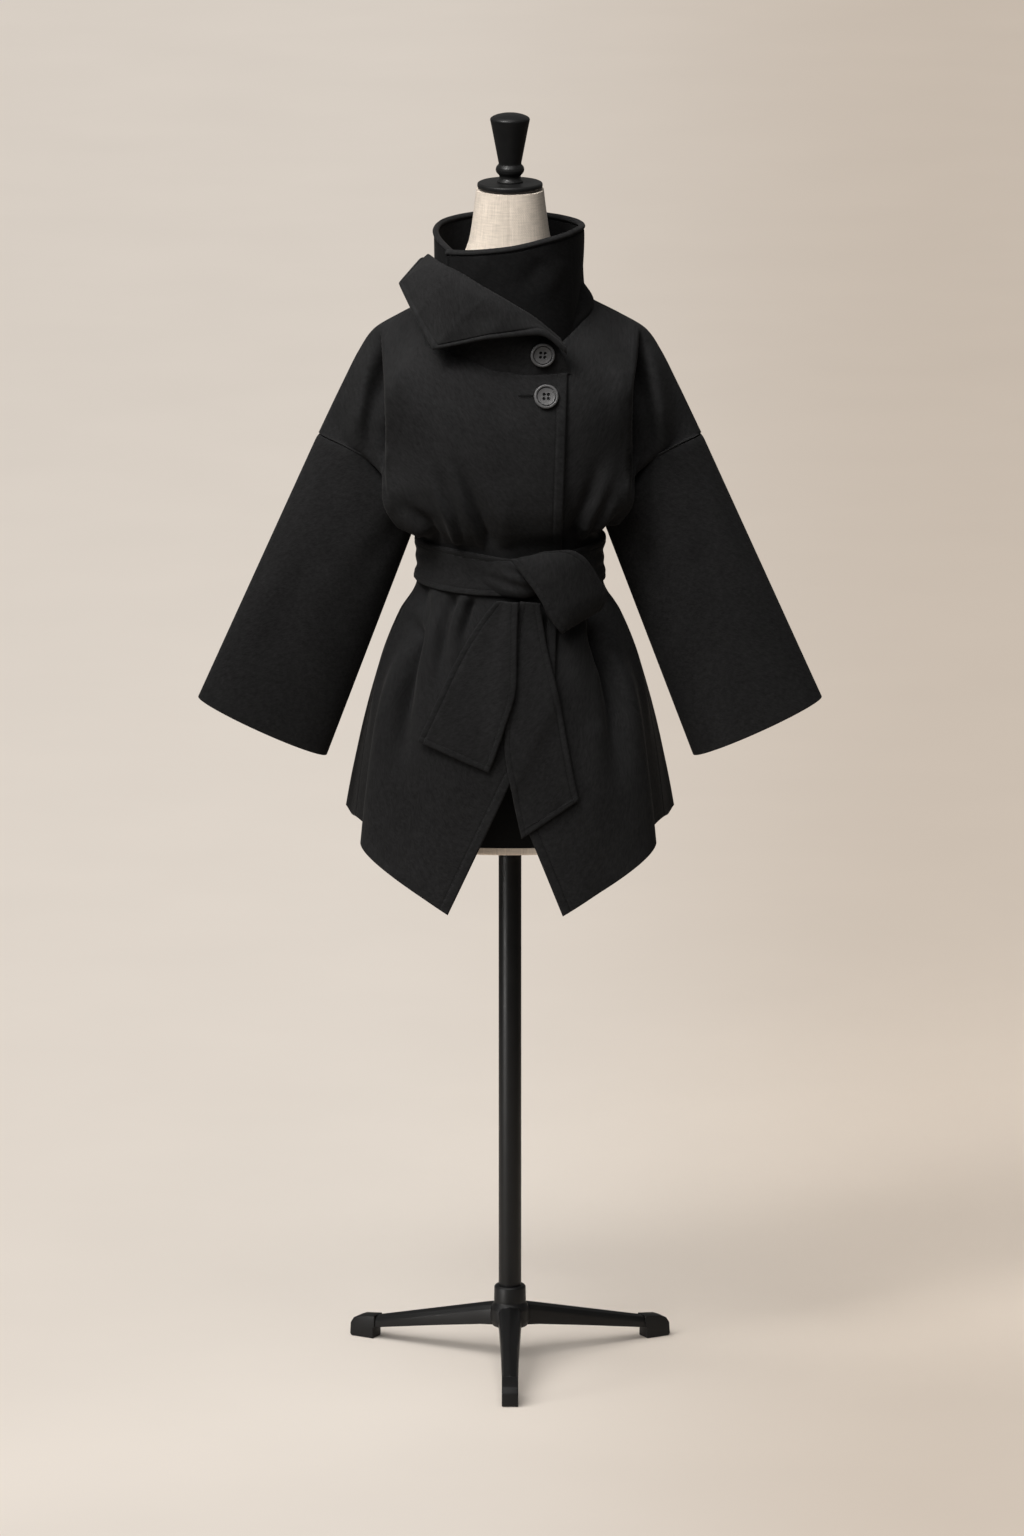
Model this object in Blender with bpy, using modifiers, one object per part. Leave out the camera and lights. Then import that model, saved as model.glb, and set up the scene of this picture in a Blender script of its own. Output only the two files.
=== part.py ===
"""Belted wool coat with a wrap collar, hung on a limbless dress form with a three-legged stand.

A Blender 4.5 script. +Z is up, +X the viewer's right, +Y the back. Sizes are written in
millimetres and turned into metres by MM where a mesh is made. Everything is built round the
stand's pole and then hung on one empty, which moves the part so that the origin is the middle
of its footprint on the floor.
"""
import math
from collections import namedtuple

import bmesh
import bpy
import numpy as np
from mathutils import Matrix, Vector

MM = 0.001
SEAM_GAP = 0.3

# Cloth
COAT_WALL = 2.5
COLLAR_WALL = 5.0
BELT_WALL = 4.0
LAP_STEP = COAT_WALL + 2.9

# Body of the coat: one row of each table for each level, from the neckline to the hem
Front = namedtuple("Front", "z depth corner_z corner_x corner_y recess")
FRONT = [
    Front(1452, 108, 1497, 88, 66, -6),
    Front(1425, 119, 1470, 122, 80, 2),
    Front(1398, 129, 1440, 150, 86, 8),
    Front(1372, 136, 1412, 166, 84, 10),
    Front(1346, 139, 1384, 172, 80, 10),
    Front(1318, 140, 1345, 175, 77, 10),
    Front(1288, 140, 1305, 177, 76, 7),
    Front(1256, 137, 1260, 175, 76, 7),
    Front(1224, 126, 1220, 157, 68, 12),
    Front(1197, 110, 1197, 104, 66, -7),
    Front(1161, 106, 1161, 98, 64, -7),
    Front(1126, 110, 1126, 103, 66, -6),
    Front(1075, 124, 1078, 130, 78, -2),
    Front(1005, 137, 1010, 160, 86, 4),
    Front(915, 149, 930, 183, 90, 8),
    Front(790, 159, 850, 199, 90, 12),
    Front(652, 168, 768, 208, 88, 14),
]
Back = namedtuple("Back", "z depth corner_x corner_y recess")
BACK = [
    Back(1534, 82, 80, 62, -6),
    Back(1497, 96, 116, 82, 2),
    Back(1462, 107, 142, 92, 8),
    Back(1430, 114, 157, 95, 10),
    Back(1396, 119, 163, 95, 10),
    Back(1352, 123, 166, 94, 10),
    Back(1306, 125, 167, 92, 6),
    Back(1262, 125, 164, 90, 3),
    Back(1224, 116, 144, 78, 7),
    Back(1197, 100, 102, 74, -7),
    Back(1161, 97, 97, 72, -7),
    Back(1126, 100, 103, 74, -6),
    Back(1075, 114, 145, 72, -4),
    Back(1005, 130, 176, 68, -2),
    Back(925, 144, 201, 66, 0),
    Back(845, 154, 218, 66, 0),
    Back(770, 162, 230, 66, 0),
]
Side = namedtuple("Side", "x y z")
SHOULDER = [
    Side(112, 8, 1524),
    Side(152, 8, 1505),
    Side(190, 8, 1482),
    Side(209, 8, 1454),
    Side(231, 8, 1410),
    Side(266, 8, 1336),
]
SIDE_SEAM = [
    Side(130, 6, 1216),
    Side(128, 5, 1197),
    Side(124.5, 5, 1161),
    Side(129, 5, 1126),
    Side(153, 4, 1078),
    Side(180, 6, 1010),
    Side(197, 10, 930),
    Side(208, 14, 855),
    Side(216, 16, 784),
]
SEAM_TOP_ROW = 5
UNDERARM_ROW = 8
SEAM_END = 3.99
HEM_ROW = 16
# The point between centre and corner, as shares of the corner's reach and of the depth left
MID_X = 0.62
MID_Y = 0.72
MID_Z = 0.5

# Front edges: how far past the centre each front reaches, level by level (minus is past it)
Edge = namedtuple("Edge", "z own_x")
EDGE_RIGHT = [Edge(688, 85), Edge(1003, -62), Edge(1100, -65), Edge(1200, -72), Edge(1460, -80)]
EDGE_LEFT = [Edge(688, 70), Edge(1003, -58), Edge(1100, -62), Edge(1200, -70), Edge(1460, -78)]
# How many rows below the neckline each front's top edge is cut, across its width
Trim = namedtuple("Trim", "across rows")
NECK_RIGHT = [Trim(-1.2, 1.05), Trim(0, 0.0), Trim(1, 0.25), Trim(2, 0.75), Trim(3, 0.5), Trim(4, 0.0)]
NECK_LEFT = [Trim(-1.2, 1.05), Trim(0, 0.0), Trim(4, 0.0)]
TRIM_FADE_ROWS = 6.0

# Folds: a ridge (or, with a minus, a trough) from the belt to where it dies away
Fold = namedtuple("Fold", "x0 z0 x1 z1 height width0 width1")
FOLDS_RIGHT = [
    Fold(30, 1196, 78, 1330, -4.5, 16, 24),
    Fold(62, 1197, 98, 1300, 4.5, 16, 26),
    Fold(90, 1198, 120, 1290, -4.5, 15, 24),
    Fold(60, 1127, 70, 940, -5, 15, 24),
    Fold(84, 1127, 96, 900, 6, 15, 28),
    Fold(106, 1127, 124, 880, -6, 14, 24),
]
FOLDS_LEFT = [
    Fold(94, 1198, 128, 1300, -5, 15, 24),
    Fold(104, 1200, 140, 1280, 4, 12, 18),
    Fold(88, 1127, 112, 930, 6, 15, 26),
    Fold(112, 1127, 140, 900, -7, 14, 26),
]
FOLDS_BACK = [
    Fold(34, 1197, 52, 1310, -5, 13, 24),
    Fold(70, 1197, 108, 1320, -6, 14, 26),
    Fold(52, 1197, 78, 1300, 5, 14, 26),
    Fold(30, 1126, 52, 900, -6, 16, 40),
    Fold(58, 1126, 96, 860, 7, 16, 44),
    Fold(88, 1126, 150, 850, -7, 16, 40),
]

# Sleeves: the armhole's top, middle and bottom, and the two ends of the cuff
ARMHOLE_MID = Side(180, 7, 1295)
ARMHOLE_HALF_DEPTH = 50
CUFF_OUTER = Side(436, 2, 959)
CUFF_INNER = Side(258, 2, 877)
CUFF_HALF_DEPTH = 43
SLEEVE_START = 0.003

# Standing collar, a band of more than one turn from the left front round the back to the front
COLLAR_WIDTH = 104
COLLAR_FRONT = 96
COLLAR_BACK = 98
COLLAR_LIFT = 2.0
Turn = namedtuple("Turn", "share foot_out rim_out rim_z")
COLLAR_TURNS = [
    Turn(0.00, -14.0, -8.0, 1628),
    Turn(0.08, -9.0, -4.0, 1633),
    Turn(0.25, -1.5, 0.0, 1635),
    Turn(0.45, 0.0, 0.0, 1634),
    Turn(0.60, 0.0, 0.0, 1637),
    Turn(0.72, -4.0, 0.0, 1629),
    Turn(0.82, -7.5, -1.0, 1619),
    Turn(0.92, -8.0, -1.0, 1612),
    Turn(1.00, -8.0, -1.0, 1608),
]
COLLAR_START = 2.75
COLLAR_END = 2.15

# Collar end that is folded down: where it is sewn on, its fold and its free edge
Lapel = namedtuple("Lapel", "across fold_x fold_y fold_z edge_x edge_y edge_z")
LAPEL = [
    Lapel(-1.10, 70, -114, 1492, 79, -121, 1474),
    Lapel(-0.60, 32, -122, 1525, 36, -134, 1503),
    Lapel(0.00, 0, -126, 1546, -32, -138, 1498),
    Lapel(0.90, -33, -124, 1565, -106, -122, 1480),
    Lapel(2.10, -78, -104, 1588, -131, -88, 1519),
    Lapel(3.20, -106, -56, 1594, -153, -34, 1554),
    Lapel(3.95, -113, -2, 1592, -125, 4, 1580),
]
LAPEL_FOLD_RADIUS = 5.5
LAPEL_SWELL = 4.0
LAPEL_LIFT = 3.2
LAPEL_STAND_OFF = 1.3

# Belt
BELT_TOP = 1193
BELT_BOTTOM = 1130
BELT_DIP = 12
BELT_DIP_REACH = 62
BELT_CLEAR = 1.1
KNOT_CENTRE = (19, -124.8, 1151)
KNOT_SIZE = (42, 18.6, 52)
# Strips: the two edges at each station
Strip = namedtuple("Strip", "left_x left_y left_z right_x right_y right_z")
LOOP = [
    Strip(6, -135, 1176, 60, -130, 1196),
    Strip(8, -139, 1172, 76, -131, 1194),
    Strip(20, -143, 1156, 96, -128, 1186),
    Strip(36, -145, 1134, 114, -121, 1168),
    Strip(58, -145, 1102, 130, -109, 1143),
    Strip(69, -140, 1085, 135, -101, 1133),
    Strip(66, -133, 1088, 130, -97, 1136),
    Strip(52, -131, 1106, 112, -104, 1152),
    Strip(44, -130, 1124, 88, -112, 1166),
]
TAIL_LEFT = [
    Strip(-20, 0, 1124.7, 12, 0, 1124.7),
    Strip(-42, 0, 1096, 10, 0, 1080),
    Strip(-76, 0, 1040, 9, 0, 1012),
    Strip(-102, 0, 985, -8, 0, 950),
    Strip(-123, 0, 937, -29, 0, 893),
]
TAIL_RIGHT = [
    Strip(14, 0, 1124.5, 42, 0, 1122),
    Strip(6, 0, 1078, 50, 0, 1068),
    Strip(-2, 0, 1010, 66, 0, 1000),
    Strip(-8, 0, 930, 80, 0, 925),
    Strip(4, 0, 850, 90, 0, 872),
    Strip(16, 0, 793, 96, 0, 846),
]
TAIL_CLEAR = 1.0
TAIL_NEAR = 14
TAIL_OVER_NEAR = 26
TAIL_SETTLE = 70
TAIL_STEP = np.array([0, 0.5, 0])

# Buttons: where each sits in the viewer's plane
BUTTON_RADIUS = 17
BUTTON_THICK = 5
BUTTON_HOLE_RADIUS = 1.7
BUTTON_HOLE_PITCH = 5.2
BUTTON_UPPER = (45, 1472)
BUTTON_LOWER = (50, 1414)

# Dress form: half width, and depth to the front and to the back, level by level
FormRing = namedtuple("FormRing", "z width front back")
BUST = [
    FormRing(1055, 134, 99, 104),
    FormRing(1110, 119, 92, 92),
    FormRing(1161, 111, 88, 85),
    FormRing(1215, 117, 96, 90),
    FormRing(1270, 130, 112, 98),
    FormRing(1320, 141, 122, 102),
    FormRing(1370, 149, 119, 102),
    FormRing(1415, 155, 108, 97),
    FormRing(1444, 158, 92, 88),
    FormRing(1468, 157, 74, 74),
    FormRing(1487, 150, 58, 62),
    FormRing(1501, 136, 47.5, 53),
    FormRing(1513, 103, 42, 47),
    FormRing(1530, 77, 48, 50),
    FormRing(1565, 63, 58, 55),
    FormRing(1610, 57, 57, 54),
    FormRing(1650, 51, 52, 50),
    FormRing(1683, 47, 47, 46),
]
TRUNK = [
    FormRing(766, 148, 100, 106),
    FormRing(800, 152, 103, 110),
    FormRing(860, 155, 106, 113),
    FormRing(930, 153, 107, 113),
    FormRing(1000, 145, 104, 109),
    FormRing(1054.7, 134, 99, 104),
]
RIM = [
    FormRing(755, 143, 96, 102),
    FormRing(757.5, 146, 98.5, 104.5),
    FormRing(765.7, 148, 100, 106),
]
FORM_POWER = 2.25
FORM_SIDES = 28

# Turned pieces: radius and height down the outer side
Turned = namedtuple("Turned", "radius z")
FINIAL = [
    Turned(0, 1790), Turned(14, 1788.5), Turned(24, 1784.5), Turned(27.5, 1780), Turned(27.5, 1777),
    Turned(25, 1772), Turned(20, 1755), Turned(16.5, 1735), Turned(15, 1720), Turned(17.5, 1716.5),
    Turned(20, 1711), Turned(17.5, 1705.5), Turned(14.8, 1702.5), Turned(15, 1699), Turned(18, 1695),
    Turned(18, 1693.3), Turned(0, 1693.3),
]
PLATE = [
    Turned(0, 1693), Turned(43, 1693), Turned(45.3, 1691.5), Turned(45.5, 1688), Turned(44.5, 1684.5),
    Turned(42, 1683.3), Turned(0, 1683.3),
]
POLE = [Turned(0, 754.7), Turned(16, 754.7), Turned(16, 112.3), Turned(0, 112.3)]
HUB = [
    Turned(0, 112), Turned(20.5, 112), Turned(22.5, 110), Turned(22.5, 86), Turned(20.5, 84),
    Turned(20.5, 50), Turned(18, 46), Turned(0, 46),
]

# Base legs: half width at the top and bottom edges, height of the ridge, top and bottom
Leg = namedtuple("Leg", "reach half_top half_bottom ridge_z shoulder_z bottom_z")
LEG = [
    Leg(4, 10, 17, 82, 78, 48),
    Leg(40, 9, 15.5, 73, 68, 44),
    Leg(120, 7, 13, 51, 46, 31),
    Leg(216, 5.5, 11, 33, 29, 16),
]
LEG_LENGTH = 257
FOOT_HALF_WIDTH = 12
FOOT_OUTLINE = [(206, 0), (252, 0), (257, 6), (257, 22), (251, 30), (232, 34), (216.4, 34), (216.4, 15.6), (206, 13)]

# Colours, as linear values
WOOL = (0.018, 0.017, 0.0175)
LINEN = (0.62, 0.54, 0.45)
DARK_CLOTH = (0.012, 0.012, 0.012)
METAL = (0.022, 0.022, 0.023)
HORN = (0.035, 0.034, 0.034)


def table(rows):
    return np.array(rows, float)


def columns(*parts):
    return np.stack(np.broadcast_arrays(*parts), axis=-1).astype(float)


def smooth(low, high, value):
    share = np.clip((value - low) / (high - low), 0, 1)
    return share * share * (3 - 2 * share)


def unit(vectors):
    return vectors / np.maximum(np.linalg.norm(vectors, axis=-1, keepdims=True), 1e-9)


def hermite(p0, p1, m0, m1, s):
    s2, s3 = s * s, s * s * s
    return (2 * s3 - 3 * s2 + 1) * p0 + (s3 - 2 * s2 + s) * m0 + (3 * s2 - 2 * s3) * p1 + (s3 - s2) * m1


def along_rows(rows, spans, v):
    """A table read between its rows, as one smooth curve a column that never overshoots a row."""
    steps = np.diff(rows, axis=0) / spans[:, None]
    before, after = steps[:-1], steps[1:]
    near, far = (2 * spans[1:] + spans[:-1])[:, None], (spans[1:] + 2 * spans[:-1])[:, None]
    turning = before * after <= 0
    safe = np.where(turning, 1.0, near * after + far * before)
    inner = np.where(turning, 0.0, (near + far) * before * after / safe)
    slope = np.vstack([steps[:1], inner, steps[-1:]])
    i = np.clip(v.astype(int), 0, len(rows) - 2)
    h = spans[i][:, None]
    return hermite(rows[i], rows[i + 1], slope[i] * h, slope[i + 1] * h, (v - i)[:, None])


def through(keys, a):
    """A smooth curve through each row of key points; the first and last only steer it."""
    spans = np.maximum(np.linalg.norm(np.diff(keys, axis=1), axis=2), 1e-6)[..., None]
    steps = np.diff(keys, axis=1) / spans
    slope = (steps[:, :-1] * spans[:, 1:] + steps[:, 1:] * spans[:, :-1]) / (spans[:, :-1] + spans[:, 1:])
    i = np.clip(a.astype(int), 0, keys.shape[1] - 4)
    n = np.arange(len(a))
    h = spans[n, i + 1]
    s = (a - i)[:, None]
    return hermite(keys[n, i + 1], keys[n, i + 2], slope[n, i] * h, slope[n, i + 1] * h, s)


def spans_of(rows, column):
    return np.maximum(np.abs(np.diff(rows[:, column])), 8.0)


FRONT_ROWS, BACK_ROWS = table(FRONT), table(BACK)
SHOULDER_ROWS, SEAM_ROWS = table(SHOULDER), table(SIDE_SEAM)
FRONT_SPANS, BACK_SPANS = spans_of(FRONT_ROWS, 0), spans_of(BACK_ROWS, 0)
SHOULDER_SPANS, SEAM_SPANS = spans_of(SHOULDER_ROWS, 2), spans_of(SEAM_ROWS, 2)


# Body of the coat
def sleeve_point(turn, t):
    """The sleeve's tube: turn goes round it from the outer edge by the front, t from armhole to cuff."""
    share = ((1 - np.cos(turn)) / 2)[:, None]
    t = np.broadcast_to(t, turn.shape)[:, None]
    top, under = table(SHOULDER[-1]), table(SIDE_SEAM[0])
    outer = top + (table(CUFF_OUTER) - top) * t
    inner = under + (table(CUFF_INNER) - under) * t
    bow = (table(ARMHOLE_MID) - (top + under) / 2) * (1 - t) ** 2
    points = outer + (inner - outer) * share + 4 * share * (1 - share) * bow
    depth = ARMHOLE_HALF_DEPTH + (CUFF_HALF_DEPTH - ARMHOLE_HALF_DEPTH) * t[:, 0]
    points[:, 1] -= depth * np.sin(turn)
    return points


def armhole_turn(v):
    return np.pi * (np.clip(v, SEAM_TOP_ROW, UNDERARM_ROW) - SEAM_TOP_ROW) / (UNDERARM_ROW - SEAM_TOP_ROW)


def side_point(v, back):
    upper = along_rows(SHOULDER_ROWS, SHOULDER_SPANS, np.clip(v, 0, SEAM_TOP_ROW))
    lower = along_rows(SEAM_ROWS, SEAM_SPANS, np.clip(v, UNDERARM_ROW, HEM_ROW) - UNDERARM_ROW)
    turn = armhole_turn(v)
    hole = sleeve_point(2 * np.pi - turn if back else turn, 0.0)
    return np.where((v < SEAM_TOP_ROW)[:, None], upper, np.where((v > UNDERARM_ROW)[:, None], lower, hole))


def halfway(first, second, recess):
    run = second - first
    inward = unit(columns(-run[:, 1], run[:, 0], 0 * recess))
    return (first + second) / 2 + inward * recess[:, None]


def body_keys(v):
    """Key points of the front half section and of the back half section at row v."""
    z, depth, corner_z, corner_x, corner_y, recess = along_rows(FRONT_ROWS, FRONT_SPANS, v).T
    front_side = side_point(v, False)
    front_corner = columns(corner_x, -corner_y, corner_z)
    front_mid = columns(MID_X * corner_x, -(corner_y + MID_Y * (depth - corner_y)), z + MID_Z * (corner_z - z))
    front_centre = columns(0, -depth, z)
    front_hollow = halfway(front_corner, front_side, recess)
    z, depth, corner_x, corner_y, recess = along_rows(BACK_ROWS, BACK_SPANS, v).T
    back_side = side_point(v, True)
    corner_z = (z + back_side[:, 2]) / 2
    back_corner = columns(corner_x, corner_y, corner_z)
    back_mid = columns(MID_X * corner_x, corner_y + MID_Y * (depth - corner_y), z + MID_Z * (corner_z - z))
    back_centre = columns(0, depth, z)
    back_hollow = halfway(back_side, back_corner, recess)
    split = np.sin(armhole_turn(v))[:, None]
    past_front = back_hollow * (1 - split) + (2 * front_side - front_hollow) * split
    past_back = front_hollow * (1 - split) + (2 * back_side - back_hollow) * split
    flip = np.array([-1, 1, 1])
    front = [front_mid * flip, front_centre, front_mid, front_corner, front_hollow, front_side, past_front]
    back = [back_mid * flip, back_centre, back_mid, back_corner, back_hollow, back_side, past_back]
    return np.stack(front, axis=1), np.stack(back, axis=1)


def front_point(a, v, trim):
    """A point of a front, own side positive: a from 0 at the centre to 4 at the side, v the row."""
    trim = table(trim)
    drop = np.interp(a, trim[:, 0], trim[:, 1])
    v = v + drop * np.clip(1 - v / TRIM_FADE_ROWS, 0, 1)
    points = through(body_keys(v)[0], np.abs(a))
    points[:, 0] *= np.where(a < 0, -1, 1)
    return points


def back_point(a, v):
    points = through(body_keys(v)[1], np.abs(a))
    points[:, 0] *= np.where(a < 0, -1, 1)
    return points


def facing(point_at, a, v, sign):
    """Outward normals of a surface given as point_at(a, v)."""
    step = 0.01
    across = point_at(np.minimum(a + step, 4.0), v) - point_at(np.maximum(a - step, -4.0), v)
    down = point_at(a, np.minimum(v + step, HEM_ROW)) - point_at(a, np.maximum(v - step, 0.0))
    return unit(np.cross(down, across)) * sign


def sleeve_facing(turn, t):
    step = 0.01
    t = np.broadcast_to(t, turn.shape)
    around = sleeve_point(turn + step, t) - sleeve_point(turn - step, t)
    along = sleeve_point(turn, np.minimum(t + step, 1)) - sleeve_point(turn, np.maximum(t - step, 0))
    return unit(np.cross(around, along))


def armhole_facing(turn):
    """The shared normal at the armhole seam, between the body's and the sleeve's."""
    v = SEAM_TOP_ROW + np.where(turn > np.pi, 2 * np.pi - turn, turn) * (UNDERARM_ROW - SEAM_TOP_ROW) / np.pi
    side = np.full_like(v, SEAM_END)
    front = facing(lambda a, w: front_point(a, w, NECK_LEFT), side, v, 1)
    back = facing(back_point, side, v, -1)
    ahead = np.clip(0.5 + np.sin(turn) * 4, 0, 1)[:, None]
    return unit(front * ahead + back * (1 - ahead) + sleeve_facing(turn, 0.0))


def fold_height(x, z, folds):
    total = np.zeros_like(x)
    for fold in folds:
        share = (z - fold.z0) / (fold.z1 - fold.z0)
        middle = fold.x0 + (fold.x1 - fold.x0) * np.clip(share, 0, 1)
        width = fold.width0 + (fold.width1 - fold.width0) * np.clip(share, 0, 1)
        fade = smooth(0, 0.14, share) * (1 - smooth(0.25, 1, share))
        total += fold.height * fade * np.exp(-(((x - middle) / width) ** 2))
    return total


def edge_across(rows_v, edge, trim):
    """Where a front's edge crosses each row, found on a fine sampling of the row."""
    edge = table(edge)
    found = []
    for v in rows_v:
        a = np.linspace(-2.4, 2.6, 126)
        points = front_point(a, np.full_like(a, v), trim)
        past = points[:, 0] - np.interp(points[:, 2], edge[:, 0], edge[:, 1])
        k = int(np.argmax(past > 0))
        share = past[k - 1] / (past[k - 1] - past[k])
        found.append(a[k - 1] + (a[k] - a[k - 1]) * share)
    return np.array(found)


def front_grid(rows_v, count, edge, trim, own_folds, other_folds, inner_lap):
    """Mid surface and normals of a front, own side at +X."""
    start = edge_across(rows_v, edge, trim)
    share = np.linspace(0, 1, count)
    a = start[:, None] + (SEAM_END - start[:, None]) * share[None, :]
    v = np.broadcast_to(np.array(rows_v)[:, None], a.shape)
    a, v = a.ravel(), v.ravel().astype(float)
    points = front_point(a, v, trim)
    normals = facing(lambda p, w: front_point(p, w, trim), a, v, 1)
    at_hole = (a > 3.98) & (v >= SEAM_TOP_ROW) & (v <= UNDERARM_ROW)
    normals[at_hole] = armhole_facing(armhole_turn(v[at_hole]))
    lift = fold_height(points[:, 0], points[:, 2], own_folds)
    lift += fold_height(-points[:, 0], points[:, 2], other_folds)
    lift -= inner_lap * (1 - smooth(1.6, 3.6, a)) * (1 + 0.6 * smooth(0, 0.6, -a))
    points = points + normals * lift[:, None]
    shape = (len(rows_v), count, 3)
    return points.reshape(shape), normals.reshape(shape)


def back_grid(rows_v, count):
    a = np.linspace(-SEAM_END, SEAM_END, count)
    a, v = np.meshgrid(a, np.array(rows_v, float))
    a, v = a.ravel(), v.ravel()
    points = back_point(a, v)
    normals = facing(back_point, a, v, -1)
    at_hole = (np.abs(a) > 3.98) & (v >= SEAM_TOP_ROW) & (v <= UNDERARM_ROW)
    shared = armhole_facing(2 * np.pi - armhole_turn(v[at_hole]))
    shared[:, 0] *= np.sign(a[at_hole])
    normals[at_hole] = shared
    lift = fold_height(np.abs(points[:, 0]), points[:, 2], FOLDS_BACK)
    points = points + normals * lift[:, None]
    shape = (len(rows_v), count, 3)
    return points.reshape(shape), normals.reshape(shape)


def sleeve_grid(around, along):
    turn = np.linspace(0, 2 * np.pi, around, endpoint=False)
    t = np.linspace(SLEEVE_START, 1, along)
    turn, t = np.meshgrid(turn, t)
    turn, t = turn.ravel(), t.ravel()
    points = sleeve_point(turn, t)
    normals = sleeve_facing(turn, t)
    first = t <= SLEEVE_START
    normals[first] = armhole_facing(turn[first])
    shape = (along, around, 3)
    return points.reshape(shape), normals.reshape(shape)


# Collar
def sheet_normals(points, ring=False):
    if ring:
        across = np.roll(points, -1, axis=1) - np.roll(points, 1, axis=1)
    else:
        across = np.gradient(points, axis=1)
    return unit(np.cross(np.gradient(points, axis=0), across))


def neck_ring(count):
    """Foot of the standing collar: left front, left side, back, right side, front, left front."""
    shares = np.linspace(0, 1, count)
    lefts = np.linspace(COLLAR_START, 4, max(4, count // 9))[:-1]
    backs = np.linspace(-4, 4, count // 2)[:-1]
    rights = np.linspace(4, -COLLAR_END, count // 3)
    zero = np.zeros
    first = front_point(lefts, zero(len(lefts)), NECK_LEFT[1:]) * np.array([-1, 1, 1])
    second = back_point(backs, zero(len(backs)))
    third = front_point(rights, zero(len(rights)), NECK_LEFT[1:])
    path = np.vstack([first, second, third])
    run = np.concatenate([[0], np.cumsum(np.linalg.norm(np.diff(path, axis=0), axis=1))])
    run /= run[-1]
    return shares, np.stack([np.interp(shares, run, path[:, k]) for k in range(3)], axis=1)


def collar_band_grid(count, rows):
    shares, foot = neck_ring(count)
    turns = table(COLLAR_TURNS)
    foot_out, rim_out, rim_z = (np.interp(shares, turns[:, 0], turns[:, k]) for k in (1, 2, 3))
    run = np.gradient(foot[:, :2], axis=0)
    outward = unit(columns(-run[:, 1], run[:, 0]))
    angle = np.arctan2(foot[:, 1], foot[:, 0])
    deep = np.where(foot[:, 1] < 0, COLLAR_FRONT, COLLAR_BACK)
    radius = 1 / np.sqrt((np.cos(angle) / COLLAR_WIDTH) ** 2 + (np.sin(angle) / deep) ** 2) + rim_out
    rim = columns(radius * np.cos(angle), radius * np.sin(angle), rim_z)
    foot = foot.copy()
    foot[:, :2] += outward * foot_out[:, None]
    foot[:, 2] += COLLAR_LIFT
    share = np.linspace(0, 1, rows)[:, None, None]
    points = foot[None] + (rim - foot)[None] * share
    return points, sheet_normals(points)


def lapel_grid(count, steps):
    rows = table(LAPEL)
    v = np.linspace(0, len(rows) - 1, count)
    spans = np.linalg.norm(np.diff(rows[:, 1:4], axis=0), axis=1)
    row = along_rows(rows, spans, v)
    across = row[:, 0]
    fold, edge = row[:, 1:4], row[:, 4:7]
    near = lambda a, w: front_point(a, w, NECK_RIGHT) * np.array([-1, 1, 1])
    foot = near(across, np.zeros(count))
    below = near(across, np.full(count, 0.05))
    up = unit(foot - below)
    out = unit(columns(fold[:, 0], fold[:, 1], 0 * v))
    foot = foot + up * LAPEL_LIFT + out * LAPEL_STAND_OFF
    drop = np.array([0, 0, LAPEL_FOLD_RADIUS])
    inner_top = fold - out * LAPEL_FOLD_RADIUS - drop
    outer_top = fold + out * LAPEL_FOLD_RADIUS - drop
    inner_mid = (foot + inner_top) / 2 + out * 1.0
    outer_mid = (outer_top + edge) / 2 + out * LAPEL_SWELL
    keys = np.stack([foot - up * 8, foot, inner_mid, inner_top, fold, outer_top, outer_mid, edge,
                     2 * edge - outer_mid], axis=1)
    points = np.stack([through(keys, np.full(count, s)) for s in steps], axis=0)
    return points, sheet_normals(points)


# Belt
def belt_grid(count, rows):
    """The belt round the waist, made from the coat's own points, dipping towards the knot."""
    quarter = np.linspace(0, 4, count // 4, endpoint=False)
    front_z = FRONT_ROWS[UNDERARM_ROW + 1:UNDERARM_ROW + 4, 0]

    def ring(v):
        right_front = front_point(quarter, v[0], NECK_LEFT)
        right_back = back_point(4 - quarter, v[1])
        left_back = back_point(-quarter, v[2])
        left_front = front_point(quarter - 4, v[3], NECK_LEFT)
        return np.vstack([right_front, right_back, left_back, left_front])

    waist = ring(np.full((4, len(quarter)), UNDERARM_ROW + 2.0))
    ahead = (waist[:, 1] < 0) * np.exp(-((waist[:, 0] - KNOT_CENTRE[0]) / BELT_DIP_REACH) ** 2)
    rings = []
    for share in np.linspace(0, 1, rows):
        height = BELT_BOTTOM + (BELT_TOP - BELT_BOTTOM) * share - BELT_DIP * ahead * (0.15 + 0.85 * share)
        v = UNDERARM_ROW + 1 + np.interp(height, front_z[::-1], [2.0, 1.0, 0.0])
        rings.append(ring(v.reshape(4, -1)))
    points = np.array(rings)
    run = np.roll(points, -1, axis=1) - np.roll(points, 1, axis=1)
    normals = unit(columns(run[..., 1], -run[..., 0], 0 * run[..., 0]))
    return points + normals * (COAT_WALL / 2 + BELT_CLEAR + BELT_WALL / 2), normals


def strip_grid(stations, count, across, camber):
    rows = table(stations)
    middle = (rows[:, :3] + rows[:, 3:]) / 2
    spans = np.maximum(np.linalg.norm(np.diff(middle, axis=0), axis=1), 4.0)
    row = along_rows(rows, spans, np.linspace(0, len(rows) - 1, count))
    share = np.linspace(0, 1, across)[None, :, None]
    points = row[:, None, :3] * (1 - share) + row[:, None, 3:] * share
    normals = sheet_normals(points)
    points = points + normals * (camber * 4 * share * (1 - share))
    return points, normals


def front_cover(grids):
    """All the outer points of both fronts, to lay pieces on."""
    return np.vstack([(points + normals * COAT_WALL / 2).reshape(-1, 3) for points, normals in grids])


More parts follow.
